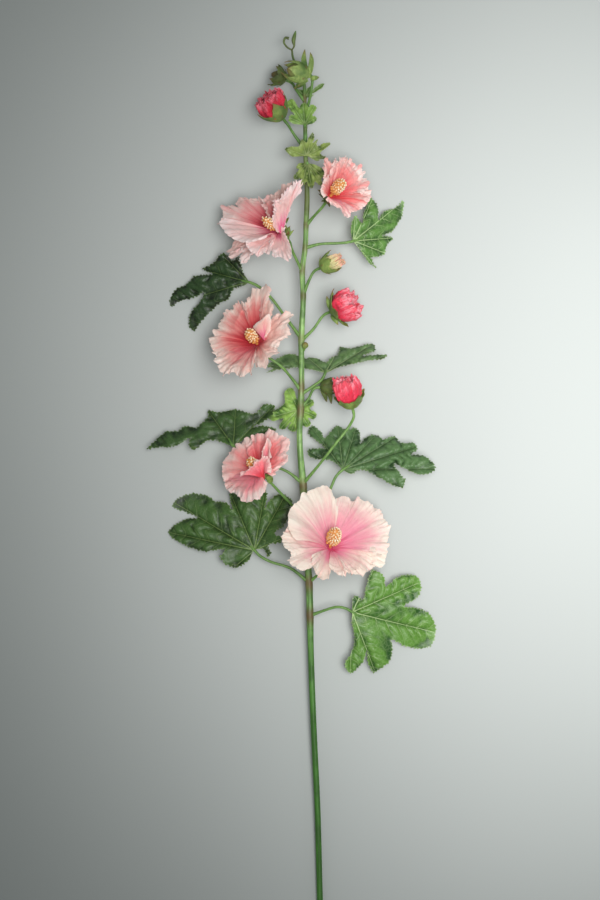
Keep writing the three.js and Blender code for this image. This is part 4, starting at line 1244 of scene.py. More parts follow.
@dataclass
class Leaf:
    """A lobed leaf with its stalk. slope is its climb across and along; rise and droop arch it."""

    name: str
    stalk: list
    base: list
    slope: list
    rise: float
    droop: float
    finish: LeafFinish
    heart: list | None = None
    tips: list = field(default_factory=list)
    outline: list = field(default_factory=list)
    spacing: float = 1.7
    teeth: float = 1.3
    tooth: float = 3.8
    crinkle: float = 1.0
    slot: str = "leaf"

    def scale(self) -> np.ndarray:
        """Gives how much longer the blade is than its plan, across and along."""
        return np.sqrt(1 + np.array(self.slope, float) ** 2)

    def ribs(self, plan: np.ndarray, flat: bool) -> tuple:
        """Measures places from the nearest rib.

        Args:
            plan: Places as seen from above.
            flat: Whether to measure in plan, or along the sloping blade.

        Returns:
            The distances off the rib and along it, and how far along it is as a share.
        """
        scale = np.ones(2) if flat else self.scale()
        base = np.array(self.base[:2], float) * scale
        off = np.full(len(plan), 1e9)
        along, reach = np.zeros(len(plan)), np.zeros(len(plan))
        for tip in self.tips:
            run = np.array(tip, float) * scale - base
            size = np.linalg.norm(run)
            t = np.clip(((plan * scale - base) @ run) / size**2, 0, 1)
            gap = np.linalg.norm(plan * scale - base - t[:, None] * run, axis=1)
            nearer = gap < off
            off = np.where(nearer, gap, off)
            along = np.where(nearer, t * size, along)
            reach = np.where(nearer, t, reach)
        return off, along, reach

    def height(self, plan: np.ndarray) -> np.ndarray:
        """Gives the height of the blade, before its skin is puffed.

        Args:
            plan: Places as seen from above.

        Returns:
            The height of its middle at each.
        """
        away = plan - np.array(self.base[:2], float)
        r = np.linalg.norm(away, axis=1)
        off, _, _ = self.ribs(plan, True)
        pleat = PLEAT * (1 - np.exp(-off / PLEAT_REACH)) * np.minimum(r / 40, 1)
        bearing = np.arctan2(away[:, 1], away[:, 0])
        wave = 0.03 * r * np.sin(5 * bearing + 6 * chance(name_seed(self.name)))
        arch = self.base[2] + away @ np.array(self.slope, float) + self.rise * r - self.droop * r**2
        return arch + pleat + wave

    def edge(self) -> np.ndarray:
        """Draws the blade's toothed edge.

        Returns:
            Its places as seen from above.
        """
        given = np.array([self.base[:2], *self.outline], float)
        scale = self.scale()
        line = smooth_route(given * scale, 0.55, closed=True)
        after = np.roll(line, -1, axis=0)
        ahead = unit(after - np.roll(line, 1, axis=0))
        turn_way = np.sign(np.sum(line[:, 0] * after[:, 1] - after[:, 0] * line[:, 1]))
        outward = np.stack([ahead[:, 1], -ahead[:, 0]], 1) * turn_way
        run = np.cumsum(np.linalg.norm(after - line, axis=1))
        seed = chance(name_seed(self.name))
        turn = (run / self.tooth + 0.5 * wander(run, 31 * seed, 0.13)) % 1.0
        saw = np.where(turn < 0.7, turn / 0.7, (1 - turn) / 0.3)
        size = self.teeth * (1.15 + 0.5 * wander(run, 17 * seed, 0.21))
        near_base = np.linalg.norm(line - given[0] * scale, axis=1)
        depth = size * (saw - 0.6) + 0.5 * self.teeth * wander(run, 5 * seed, 0.5)
        depth = depth * smoothstep(near_base, 4, 14)
        return (line + outward * depth[:, None]) / scale

    def plan(self) -> tuple:
        """Fills the edge with an even mesh.

        Returns:
            The places seen from above, the triangles, and each place's distance from the edge.
        """
        scale = self.scale()
        edge = self.edge() * scale
        low, high = edge.min(0), edge.max(0)
        rows = []
        for k, level in enumerate(np.arange(low[1], high[1], self.spacing * MESH_ROW)):
            row = np.arange(low[0] + (k % 2) * self.spacing / 2, high[0], self.spacing)
            rows.append(np.column_stack([row, np.full(len(row), level)]))
        spots = np.vstack(rows)
        base = np.array(self.base[:2], float) * scale
        for tip in self.tips:
            run = np.array(tip, float) * scale - base
            size = np.linalg.norm(run)
            line = base + np.arange(1.5, size - 1, 1.2)[:, None] * run / size
            beside = np.array([-run[1], run[0]]) / size
            spots = np.vstack([spots[np.linalg.norm(spots[:, None] - line, axis=2).min(1) > 1.1],
                               line, line + 0.8 * beside, line - 0.8 * beside])
        x, y = spots[:, 0][:, None], spots[:, 1][:, None]
        ax, ay = edge[:, 0][None], edge[:, 1][None]
        bx, by = np.roll(edge[:, 0], -1)[None], np.roll(edge[:, 1], -1)[None]
        climb = np.where(by == ay, 1e-9, by - ay)
        crosses = ((ay > y) != (by > y)) & (x < (bx - ax) * (y - ay) / climb + ax)
        near = np.sqrt(((spots[:, None] - edge[None]) ** 2).sum(2)).min(1)
        inside = spots[(crosses.sum(1) % 2 == 1) & (near > 0.55 * self.spacing)]
        corners = [Vector(p) for p in np.vstack([edge, inside]).tolist()]
        ring = [(i, (i + 1) % len(edge)) for i in range(len(edge))]
        found, _, faces, _, _, _ = delaunay_2d_cdt(corners, ring, [], 1, 1e-5)
        places = np.array([list(p) for p in found])
        gaps = np.sqrt(((places[:, None] - edge[None]) ** 2).sum(2)).min(1)
        return places / scale, [list(f) for f in faces], gaps

    def blade(self) -> Skin:
        """Shapes the blade, with its ribs sunk, its skin puffed and its edge waved.

        Returns:
            Its surface, with its thickness.
        """
        plan, faces, gaps = self.plan()
        off, along, reach = self.ribs(plan, False)
        seed = name_seed(self.name)
        high = self.height(plan)
        x, y = plan[:, 0], plan[:, 1]
        slant = (along - 0.85 * off + 7 * wander(x + 0.6 * y, seed, 0.08)) / self.finish.spacing
        puff = np.abs(np.sin(np.pi * slant)) * smoothstep(off, 0.6, 4) * (1 - smoothstep(off, 9, 20))
        uneven = 0.6 + 0.7 * wander(y - 0.5 * x, seed + 3, 0.09)
        high = high + 2.1 * self.crinkle * puff * uneven * smoothstep(gaps, 0, 3)
        rib = np.exp(-((off / 1.0) ** 2)) * (1 - 0.6 * reach)
        high = high - 0.8 * rib
        dent = wander(0.8 * x + 0.6 * y, seed + 5, 0.17) * wander(0.6 * x - 0.8 * y, seed + 6, 0.15)
        high = high + 2.1 * self.crinkle * dent * smoothstep(off, 0, 6)
        flutter = wander(x + 0.3 * y, seed + 7, 0.25) + wander(y - 0.4 * x, seed + 8, 0.22)
        high = high + 1.5 * self.crinkle * flutter * np.exp(-gaps / 5.5)
        # The relief is kept as the puff mark, which paints the raised skin lighter and the hollows darker:
        # painted light and shade.
        raised = 0.5 + 0.28 * (high - self.height(plan))
        points = settled(np.column_stack([plan, high]))
        first, second, third = (points[i] for i in faces[0])
        across = np.cross(second - first, third - first)
        if across[2] < 0:
            faces = [f[::-1] for f in faces]
        marks = {"off": off, "along": along, "reach": reach, "gaps": gaps, "puff": np.clip(raised, 0, 1)}
        return Skin(points, faces, marks).thickened(LEAF_THICKNESS)

    def build(self, growth: Growth, effects: Effects, stalk_finish: bpy.types.Material) -> list:
        """Makes the leaf's pieces.

        Args:
            growth: The geometry trees.
            effects: The shared shader groups.
            stalk_finish: The stalk's material.

        Returns:
            The pieces, which stand for the leaf's node.
        """
        blade = self.blade().piece(f"{self.name}_blade", self.finish.material(effects))
        route = [*stalk_route(self.stalk), [*self.base, STALK_RADIUS]]
        if self.heart:
            half = (np.array(self.base[:2]) + np.array(self.heart[:2])) / 2
            route.append([*half, float(self.height(half[None])[0]) - 0.6, 0.7])
        stalk = growth.stalk(f"{self.name}_stalk", route, stalk_finish)
        for made in (blade, stalk):
            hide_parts(self.name)
        return [blade, stalk]


@dataclass
class YoungLeaf(Leaf):
    """A small leaf or bract close to the stem. Each lobe is [direction, length]."""

    spacing: float = 1.1
    slot: str = "young_leaf"
    lobes: list = field(default_factory=list)
    notch: float = 0.6
    blunt: float = 0.9

    def __post_init__(self) -> None:
        """Draws the outline and the rib ends from the lobes."""

        def at(turn: float, length: float) -> list:
            """Gives a place from its direction and distance."""
            return [self.base[0] + length * math.cos(math.radians(turn)),
                    self.base[1] + length * math.sin(math.radians(turn))]

        for i, (turn, length) in enumerate(self.lobes):
            last = i == len(self.lobes) - 1
            next_turn, next_length = (turn + 60, 0.8 * length) if last else self.lobes[i + 1]
            gap = next_turn - turn
            if not i:
                self.outline.append(at(turn - 22, 0.6 * length))
            shoulder = min(0.27 * gap, 12)
            self.outline += [at(turn - shoulder, self.blunt * length), at(turn, length),
                             at(turn + shoulder, self.blunt * length)]
            bay = self.notch * min(length, next_length)
            self.outline.append(at(turn + 22, 0.6 * length) if last else at(turn + gap / 2, bay))
        self.tips = [at(turn, length) for turn, length in self.lobes]


@dataclass
class Flower:
    """An open flower, with its petals drawn one by one from the back to the front."""

    name: str
    throat: list
    faces: list
    column: float
    stalk: list
    sepals: list
    finish: PetalFinish
    petals: list
    girth: float = 1.0
    lean: list | None = None
    calyx: str = "calyx"
    slivers: list = field(default_factory=list)

    def bearing(self) -> Bearing:
        """Gives the bottom of its cup and the way that it looks."""
        return Bearing(self.throat, self.faces, name_seed(self.name))

    def corolla(self) -> Skin:
        """Shapes the petals.

        Returns:
            Their surfaces as one, with the bottom of the throat.
        """
        bearing = self.bearing()
        skins = [petal.skin(bearing, bearing.seed + 31 * i) for i, petal in enumerate(self.petals)]
        return Skin.joined([*skins, throat_floor(bearing)])

    def anthers(self, growth: Growth, finish: bpy.types.Material) -> bpy.types.Object:
        """Makes the column, with its anthers set on it.

        Args:
            growth: The geometry trees.
            finish: Its material.

        Returns:
            The piece.
        """
        top, g, bearing = self.column, self.girth, Bearing(self.throat, self.lean or self.faces, 0)
        rings = [[0.5 + GAP, 1.4], [4.0, 1.7], [0.25 * top, 2.4 * g], [0.36 * top, 3.4 * g],
                 [0.5 * top, 3.9 * g], [0.64 * top, 4.0 * g], [0.78 * top, 3.6 * g],
                 [0.9 * top, 2.4 * g], [top - 1.2, 0.9]]
        foot = {"worn": [1, 1, 0.6, 0.3, 0.1, 0, 0, 0, 0]}
        core = turned(bearing, rings, 30, foot, 0.06)
        out = (core.points - bearing.origin) @ bearing.axis
        aside = (core.points - bearing.origin - out[:, None] * bearing.axis) @ bearing.right
        # Painted shade: the side of the column away from the light is painted darker and riper through the
        # worn mark, besides the real foot.
        shade = 0.26 * smoothstep(-aside / (4 * g), -0.1, 0.9)
        core.marks["worn"] = np.maximum(core.marks["worn"], shade * (core.marks["worn"] < 0.5))
        made = core.piece(f"{self.name}_anthers", finish)
        bare = made.data
        made.data = add_modifier(made, growth.anthers, {
            "Spacing": ANTHER_SPACING, "Size": ANTHER_SIZE, "Seed": name_seed(self.name),
            "Finish": finish})
        made.data.name = made.name
        bpy.data.meshes.remove(bare)
        return made

    def green(self) -> Skin:
        """Shapes the calyx, with the slim bracts under it.

        Returns:
            Their surfaces as one.
        """
        bearing, (length, lift) = self.bearing(), self.sepals
        root, tip = lift - 10, lift - 30
        cup = CalyxCup(bearing, [[-9, 1.1], [-5.5, 3.8], [-2.2, 5.6]], length, 36, root, tip)
        slim = [slim_bract(bearing, 18 + 51.4 * i, (-7.5, 2.2), 0.9 * length, 3.2, (root, tip))
                for i in range(7)]
        return Skin.joined([cup.skin(), *slim, *(sliver(*each) for each in self.slivers)])

    def build(self, growth: Growth, effects: Effects, finishes: dict) -> list:
        """Makes the flower's pieces.

        Args:
            growth: The geometry trees.
            effects: The shared shader groups.
            finishes: The materials that several pieces share.

        Returns:
            The pieces, which stand for the flower's nodes.
        """
        petals = self.corolla().piece(f"{self.name}_corolla", self.finish.material(effects))
        anthers = self.anthers(growth, finishes["anthers"])
        sepals = self.green().piece(f"{self.name}_sepals", finishes[self.calyx])
        bearing = self.bearing()
        route = [*stalk_route(self.stalk), [*bearing.at(0, 0, -18), STALK_RADIUS],
                 [*bearing.at(0, 0, -8), 1.7], [*bearing.at(0, 0, -SEAT_DEPTH - GAP), 1.9]]
        stalk = growth.stalk(f"{self.name}_stalk", route, finishes["stalk"])
        for made, node, slot in ((petals, "petals", "petal"), (anthers, "column", "anthers"),
                                 (sepals, "calyx", "calyx"), (stalk, "calyx", "calyx")):
            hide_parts(f"{self.name}_{node}")
        return [petals, anthers, sepals, stalk]


class Opening(Enum):
    """How far a bud has opened."""

    RUFFLED = "ruffled"
    TIP = "tip"
    CLOSED = "closed"


@dataclass
class Bud:
    """A bud on its stalk."""

    name: str
    base: list
    faces: list
    size: float
    opening: Opening
    stalk: list
    finish: PetalFinish | None = None
    calyx: str = "calyx"
    lifts: tuple = (46, 100)
    sepals: tuple = (15, 38, 62)
    neck: float = 6.0
    turn: float = 20.0
    slivers: list = field(default_factory=list)

    def bearing(self) -> Bearing:
        """Gives the foot of its calyx and the way that it looks."""
        return Bearing(self.base, self.faces, name_seed(self.name))

    def layer(self, height: float, root: float, count: int, length: float, lifts: tuple) -> list:
        """Shapes one ring of the bud's petals.

        Args:
            height: How high its roots are.
            root: Distance of its roots from the axis.
            count: Number of petals.
            length: Their length.
            lifts: Their angles at the root and at the tip, in degrees.

        Returns:
            Their surfaces.
        """
        k, seed = self.size, name_seed(self.name) + count
        crown = Bearing(self.bearing().at(0, 0, height * k), self.faces, seed, root * k)
        cuts = [Cut(360 / count * i + 60 * chance(seed), length * k, lifts[0],
                    lifts[1] + 24 * chance(seed + i)) for i in range(count)]
        return Corolla(crown, cuts).skins(26, 48)

    def petals(self) -> Skin:
        """Shapes the crumpled or furled petals, ring by ring from the outside.

        Returns:
            Their surfaces as one.
        """
        root, tip = self.lifts
        if self.opening is Opening.TIP:
            layers = [(4.8, 4, 3, 21, (root, tip)), (4.9, 2.6, 3, 19, (76, 112))]
        else:
            layers = [(4.8, 5.4, 5, 25, (root, tip)), (5.0, 4.8, 4, 24, (root + 14, tip + 12)),
                      (5.2, 3.8, 3, 22.5, (root + 28, tip + 22)), (5.4, 2.2, 3, 21, (root + 40, tip + 4))]
        return Skin.joined([skin for layer in layers for skin in self.layer(*layer)])

    def green(self) -> Skin:
        """Shapes the calyx, and the wrapped ball of a closed bud.

        Returns:
            Their surfaces as one.
        """
        k, bearing = self.size, self.bearing()
        skins = []
        if self.opening is Opening.CLOSED:
            ball = [[1.6, 0.9], [2.6, 3.0], [6, 5.9], [10, 6.6], [14, 5.2], [17, 2.6], [18.4, 0.5]]
            skins.append(turned(bearing, [[h * k, r * k] for h, r in ball], 36,
                                {"worn": [0, 0, 0, 0.1, 0.2, 0.5, 0.7]}, 0.05))
        if k > 0.5:
            length, root, tip = self.sepals
            cup = [[0.6 * k, 1.0], [2.2 * k, 5.2 * k], [4.6 * k, 7.4 * k]]
            skins.append(CalyxCup(bearing, cup, length * k, self.turn, root, tip, 0.4).skin())
            skins += [slim_bract(bearing, 50 + 60 * i, (1.0 * k, 2.0), 11 * k, 2.6 * k, (14, 56))
                      for i in range(6)]
        return Skin.joined(skins + [sliver(*each) for each in self.slivers])

    def build(self, growth: Growth, effects: Effects, finishes: dict) -> list:
        """Makes the bud's pieces.

        Args:
            growth: The geometry trees.
            effects: The shared shader groups.
            finishes: The materials that several pieces share.

        Returns:
            The pieces, which stand for the bud's nodes.
        """
        k, bearing = self.size, self.bearing()
        sepals = self.green().piece(f"{self.name}_sepals", finishes[self.calyx])
        top = 4.4 * k if self.opening is Opening.CLOSED else BUD_SEAT * k - SEAT_DEPTH - GAP
        route = [*stalk_route(self.stalk), [*bearing.at(0, 0, -self.neck * k), STALK_RADIUS],
                 [*bearing.at(0, 0, top), 1.7]]
        stalk = growth.stalk(f"{self.name}_stalk", route, finishes["stalk"])
        made = [(sepals, "calyx", "calyx"), (stalk, "calyx", "calyx")]
        if self.finish:
            petals = self.petals().piece(f"{self.name}_ruffle", self.finish.material(effects))
            made.append((petals, "petals", "bud_petal"))
        for each, node, slot in made:
            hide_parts(f"{self.name}_{node}")
        return [each for each, _, _ in made]


@dataclass
class Stem:
    """The main stem and its forked growing tip."""

    route: list
    curl: list
    leaflet: list
    nodes: list

    def build(self, growth: Growth, finish: bpy.types.Material) -> list:
        """Makes the stem's pieces.

        Args:
            growth: The geometry trees.
            finish: The stem's material.

        Returns:
            The pieces, which stand for the stem's node.
        """
        made = [growth.stalk("stem_skin", self.route, finish, 28, 2.5, self.nodes),
                growth.stalk("stem_curled_shoot", self.curl, finish, 12, 0.8, self.nodes),
                growth.stalk("stem_furled_leaflet", self.leaflet, finish, 12, 0.8, self.nodes)]
        for each in made:
            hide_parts("main_stem")
        return made


@dataclass
class Studio:
    """The pale floor, the soft light and the camera that looks straight down, in metres."""

    camera: Triple = (0.008, 0.038, 2.4)
    field_height: float = 0.945
    field_distance: float = 2.375
    film_height: float = 36.0  # in millimetres
    floor_reach: float = 12.0
    light_place: Triple = (0.404, 0.042, 1.298)
    light_aim: Triple = (0.365, 0.113, 0.0)
    light_side: float = 0.85
    light_power: float = 4.1  # in watts
    light_spread: float = 52.0  # in degrees
    light_tint: Triple = (1.0, 0.99, 0.98)
    air_tint: tuple = (0.95, 1.0, 0.99, 1)
    air_strength: float = 0.26

    def build(self) -> None:
        """Makes the floor, the light, the air and the camera."""
        self._floor()
        bpy.context.scene.view_settings.view_transform = "Standard"
        self._light()
        world = bpy.data.worlds.new("studio_air")
        world.use_nodes = True
        dial(world.node_tree.nodes["Background"], {0: self.air_tint, 1: self.air_strength})
        bpy.context.scene.world = world
        self._camera()

    def _floor(self) -> None:
        """Lays the floor that the stem lies on."""
        far = self.floor_reach
        mesh = bpy.data.meshes.new("floor")
        corners = [(-far, -far, 0), (far, -far, 0), (far, far, 0), (-far, far, 0)]
        mesh.from_pydata(corners, [], [[0, 1, 2, 3]])
        floor = bpy.data.objects.new("floor", mesh)
        bpy.context.scene.collection.objects.link(floor)
        made, desk, shader = start_material("pale_paint")
        where = desk.add("ShaderNodeTexCoord").outputs["Object"]
        uneven = desk.ease(desk.noise(where, 1.5, 2.0), 0.3, 0.7)
        painted = desk.mix(uneven, colour("#b6bbb9"), colour("#bbc0be"))
        desk.tree.links.new(painted, shader.inputs["Base Color"])
        dial(shader, {"Roughness": 0.9})
        mesh.materials.append(made)

    def _light(self) -> None:
        """Hangs the soft square light."""
        lamp = bpy.data.lights.new("key", "AREA")
        lamp.size = self.light_side
        lamp.energy = self.light_power
        lamp.color = self.light_tint
        lamp.spread = math.radians(self.light_spread)
        hung = bpy.data.objects.new("key", lamp)
        hung.location = self.light_place
        way = Vector(self.light_aim) - Vector(self.light_place)
        hung.rotation_euler = way.to_track_quat("-Z", "Y").to_euler()
        bpy.context.scene.collection.objects.link(hung)

    def _camera(self) -> None:
        """Sets up the camera, which looks down."""
        view = bpy.data.cameras.new("view")
        view.sensor_fit = "VERTICAL"
        view.sensor_height = self.film_height
        view.lens = self.film_height * self.field_distance / self.field_height
        view.clip_end = 50
        eye = bpy.data.objects.new("view", view)
        eye.location = self.camera
        bpy.context.scene.collection.objects.link(eye)
        bpy.context.scene.camera = eye


STEM = Stem(
    route=[
        [22.5, 0, 2.87, 3.3], [21, 42, 5, 3.2], [18.4, 137, 9, 3.2], [14.6, 217, 12.5, 3.2],
        [11.3, 304, 16, 3.3], [10.5, 340, 17.5, 3.6], [9.5, 375, 19, 3.6], [6.3, 420, 21, 3.3],
        [3.2, 479, 24, 3.7], [0.2, 512, 25.4, 3.2], [-0.5, 535, 26.3, 3.1], [0.8, 560, 27.3, 3.4],
        [1.6, 590, 28.5, 2.9], [1.5, 631, 30, 3.1], [3.4, 676, 31.3, 2.8], [2.4, 703, 32, 2.8],
        [5.4, 726, 32.7, 2.6], [6.4, 750, 33.5, 2.6], [7.4, 782, 34.3, 2.4], [5.6, 829, 35, 2.2],
        [5.4, 857, 35.3, 2], [4.8, 882, 35.5, 1.9], [4, 900, 35.6, 1.6], [0, 913, 35.6, 1.3],
        [-6.8, 923, 35.4, 1.1], [-8.6, 933.6, 35.2, 0.9]],
    curl=[[-8.6, 932.6, 35.2, 0.8], [-13.5, 935.6, 35.6, 0.9], [-16.8, 940.6, 36, 0.9],
          [-15.2, 945.2, 36.2, 1.2], [-11.6, 944.6, 36, 1.4]],
    leaflet=[[-8.6, 932.6, 35.2, 0.8], [-6.2, 936.6, 35.2, 0.9], [-6.8, 942.6, 35.4, 1.9],
             [-5.4, 948.6, 35.6, 1.5], [-4.6, 952.4, 35.6, 0.5]],
    nodes=[(340, 0.75, 9), (375, 0.8, 9), (477, 0.75, 7), (556, 0.7, 9), (580, 0.7, 8), (631, 0.5, 6),
           (676, 0.5, 5), (703, 0.6, 6), (726, 0.5, 5), (750, 0.6, 5), (776, 0.42, 22), (804, 0.62, 22),
           (827, 0.7, 7), (857, 0.6, 8), (881, 0.75, 6), (910, 0.5, 14), (938, 0.45, 16)])

BRIGHT = LeafFinish("leaf_bright", "#5c8a34", "#244e17", "#bcd498", "#86a068", 0.75, 12.0, 0.3)
GLOSSY = LeafFinish("leaf_glossy", "#588439", "#204317", "#b4cf90", "#86a268", 0.75, 10.5, 0.3)
DARK = LeafFinish("leaf_dark", "#41622c", "#162b10", "#8aa560", "#7f9a72", 0.6, 12.0, 0.2)
DEEP = LeafFinish("leaf_deep", "#27401f", "#091509", "#6b8448", "#5f7d4c", 0.5, 11.0, 0.2)
SHADED = LeafFinish("leaf_shaded", "#3d5b2d", "#162a12", "#7f9a56", "#6f8a52", 0.45, 11.0, 0.2)
GREYED = LeafFinish("leaf_greyed", "#4e6e41", "#203a1c", "#8ba572", "#8d9a5f", 0.45, 11.0, 0.2)
ARCHED = LeafFinish("leaf_arched", "#587646", "#263f21", "#98ae7a", "#8ba05a", 0.6, 10.0, 0.2)
YOUNG = LeafFinish("leaf_young", "#8cb255", "#3c6226", "#b4c888", "#8ba55e", 0.45, 6.0, 0.15)
TENDER = LeafFinish("leaf_tender", "#7ea24c", "#345722", "#a8c07c", "#86a05a", 0.45, 6.0, 0.15)
BRACT = LeafFinish("leaf_bract", "#8a9f54", "#3d5525", "#b2bd80", "#8fa45e", 0.4, 6.0, 0.12)

LEAVES = [
    Leaf(
        "leaf_low_right", [[10.5, 340, 17.5], [25, 345.5, 20], [39, 349.5, 22], [49, 347.5, 21.5]],
        [55, 344, 20.5], [-0.21, 0.08], 0.12, 0.0019, BRIGHT, [70, 336],
        [[77, 388], [125, 374], [143, 321], [79, 281], [53, 280]],
        [[56.5, 361], [63, 359.5], [66.5, 358], [70, 373], [76, 388.5], [83, 386], [89, 380.5],
         [90, 371], [101, 379.5], [110, 382.5], [118, 383], [126, 378], [128, 368], [124, 358.5],
         [110, 350.5], [124, 347.5], [136, 342], [143, 331], [144, 321], [139, 306.5], [128, 304],
         [112, 306.5], [97, 314], [98, 303], [95, 292], [86, 284.5], [77.5, 279.5], [72, 290],
         [70, 303], [67, 292], [60, 284], [53, 278.5], [47, 290], [54, 301], [57.5, 318],
         [54.5, 332]], crinkle=1.15),
    Leaf(
        "leaf_low_left", [[9.5, 375, 19], [-10, 390, 20], [-31, 397, 20], [-42, 403, 20]],
        [-48, 409, 19], [0.14, -0.12], 0.13, 0.0021, DARK, [-58, 420],
        [[-31, 403], [-18, 422], [-16, 466], [-37, 471], [-73, 468], [-134, 459], [-138, 427], [-68, 392]],
        [[-38, 410], [-33, 402], [-30.5, 406], [-33, 415], [-21, 417], [-18.5, 423], [-27, 427],
         [-16, 436], [-11, 451], [-9, 462], [-20, 468], [-31, 463], [-37, 452], [-35, 463],
         [-36, 472], [-46, 468], [-54, 460], [-64, 467], [-73, 469], [-74, 461], [-70, 450],
         [-78, 459], [-88, 460], [-100, 466.5], [-114, 468.5], [-128, 464], [-136, 455],
         [-124, 449.5], [-108, 443], [-119, 441.5], [-132, 435.5], [-139.5, 427], [-128, 417],
         [-113, 410.5], [-99, 407.5], [-79, 410], [-84, 402], [-78, 394], [-66, 391], [-54, 398.5]]),
    Leaf(
        "leaf_mid_right", [[7.2, 411, 20.5], [20, 440, 24], [31, 471, 27], [38, 487, 28]],
        [45, 494, 28], [-0.02, -0.6], 0.12, 0.0013, GREYED, [60, 503],
        [[9, 513], [12, 539], [40, 540], [59, 537], [80, 530], [102, 529], [122, 518], [142, 495],
         [107, 477]],
        [[33, 503.5], [22, 504.5], [11, 507], [8, 514], [20, 516.5], [27, 516], [16, 525.5],
         [8.5, 532], [13, 540], [22, 534], [26, 527], [31, 532], [40, 540.5], [48, 536],
         [60, 537.5], [64, 529], [64, 521], [70, 528], [80, 530.5], [88, 526], [100, 529],
         [107, 522], [121, 521.5], [123, 514], [117, 510], [131, 508], [142.5, 495], [128, 488.5],
         [112, 494], [99, 500], [105, 489], [110, 483], [106, 475], [94, 479.5], [80, 487],
         [64, 494], [54, 489.5]], crinkle=1.5),
    Leaf(
        "leaf_mid_left", [[3.2, 479, 24], [-12, 491, 24], [-30, 499, 25], [-54, 511, 25]],
        [-70, 518.5, 24], [0.12, -0.48], 0.12, 0.0011, SHADED, [-80, 535],
        [[-26, 536], [-28, 561], [-68, 557], [-97, 556], [-160, 516], [-113, 516]],
        [[-60, 525], [-48, 527.5], [-30, 532], [-25, 536], [-38, 540], [-50, 538.5], [-37, 545],
         [-29, 551], [-27, 561], [-38, 562.5], [-47, 553], [-59, 555], [-68, 557.5], [-84, 554.5],
         [-97, 556], [-97, 550], [-103, 543.5], [-109, 538.5], [-121, 539.5], [-130, 534.5],
         [-141, 534], [-152, 525], [-161, 516], [-147, 517.5], [-133, 518], [-115, 527],
         [-117, 521], [-112.5, 514.5], [-103, 520.5], [-95, 525], [-80, 522]]),
    Leaf(
        "leaf_arched", [[1.5, 573, 27.8], [16, 583, 29], [23, 588.5, 30]],
        [26.5, 595.5, 30.5], [0.07, -1.0], 0.14, 0.0009, ARCHED, [27, 602],
        [[-34, 597], [-32, 603], [8, 612], [42, 623], [76, 626], [91, 613]],
        [[17, 597.5], [6, 600], [-8, 600.5], [-22, 598.8], [-35, 595.8], [-28, 600.5], [-35, 602.5],
         [-28, 608], [-17, 614], [-6, 615.5], [3, 611], [12, 612], [20, 610], [27, 607], [33, 611.5],
         [40, 615.5], [43, 623.5], [53, 621.5], [64, 624.5], [77, 626.5], [79, 619.5], [66, 613.5],
         [79, 614.5], [91.5, 614], [88, 610.5], [76, 609], [62, 606], [47, 603], [35, 599]]),
    Leaf(
        "leaf_high_left", [[1.5, 631, 30], [-16, 655, 28], [-32, 676, 27], [-45, 687, 27]],
        [-54.5, 691, 26], [0.335, 0.03], 0.1, 0.0016, DEEP, [-70, 694],
        [[-65, 717], [-82, 720], [-103, 705], [-137, 668], [-114, 642]],
        [[-59, 700], [-62, 709], [-65, 718], [-71, 713], [-76, 719.5], [-83, 720.5], [-92, 711],
         [-103, 706], [-92, 700.5], [-101, 699.5], [-112, 698], [-119, 690.5], [-131, 685],
         [-138, 674], [-137, 666.5], [-126, 673], [-113, 675], [-101, 680.5], [-105, 671],
         [-112, 664.5], [-117, 655], [-117, 645], [-112.5, 640.5], [-105, 650], [-94, 660.5],
         [-84, 669.5], [-76, 673], [-69, 684], [-60, 687]], crinkle=1.1),
    Leaf(
        "leaf_high_right", [[5.4, 726, 32.7], [21, 730, 33], [40, 731, 32], [50, 732, 31]],
        [56, 733.5, 30], [-0.6, 0], 0.08, 0.0016, GLOSSY, [68, 737],
        [[57, 759], [76, 778], [109, 778], [98, 739], [91, 722], [79, 707]],
        [[53.5, 741], [54.5, 754], [58, 760], [65, 752.5], [68, 767], [75, 779], [81.5, 772],
         [83, 756.5], [88, 766], [99, 770], [109.5, 778.5], [109, 765], [103, 753.5], [97, 745.5],
         [86, 740.5], [97, 740.5], [97, 736.5], [92, 731.5], [89, 721.5], [80, 717.5],
         [75, 717], [80, 707], [71, 713], [65, 722], [59, 729.5]], crinkle=1.2),
    YoungLeaf(
        "young_leaf_mid", [[0.8, 560, 27.3], [0, 558, 22.5]], [-1.5, 557, 20.5], [0.06, -0.1], 0.15, 0.01,
        YOUNG, notch=0.66, blunt=0.93, teeth=0.6, tooth=2.8, crinkle=1.6,
        lobes=[[-59, 21], [-22, 20], [30, 18], [78, 16], [117, 25], [196, 32], [226, 28], [252, 24]]),
    YoungLeaf(
        "young_leaf_high", [[5.4, 852, 35.3], [5.2, 853, 38]], [5, 854, 39.5], [0, 0.12], 0.3, 0.01,
        TENDER, notch=0.8, blunt=0.95, teeth=0.6, tooth=3.0, crinkle=1.6,
        lobes=[[30, 14], [62, 22], [94, 22], [124, 30], [156, 18]]),
    YoungLeaf(
        "bract_star", [[5.8, 827, 35], [6.6, 824, 38]], [7, 821, 40], [0, 0.14], 0.3, 0.008,
        BRACT, notch=0.72, blunt=0.78, teeth=0.5, tooth=2.8, crinkle=1.7,
        lobes=[[-4, 20], [28, 28], [56, 21], [75, 25], [107, 18], [162, 24]]),
    YoungLeaf(
        "bract_hanging", [[7, 815, 34.8], [7.4, 814, 37.6]], [7.8, 814, 39], [0, -0.1], 0.2, 0.006,
        BRACT, notch=0.8, blunt=0.93, teeth=0.7, tooth=2.8, crinkle=2.0,
        lobes=[[205, 13], [231, 22], [256, 25], [279, 27], [302, 28], [319, 22]]),
    YoungLeaf(
        "bract_top", [[4.8, 882, 35.5], [6, 883, 33]], [6, 884, 32], [0.05, 0], 0.1, 0.004,
        TENDER, notch=0.6, blunt=0.8, teeth=0.3, tooth=2.8, crinkle=0.6,
        lobes=[[14, 9], [36, 24], [62, 13], [136, 12]]),
]

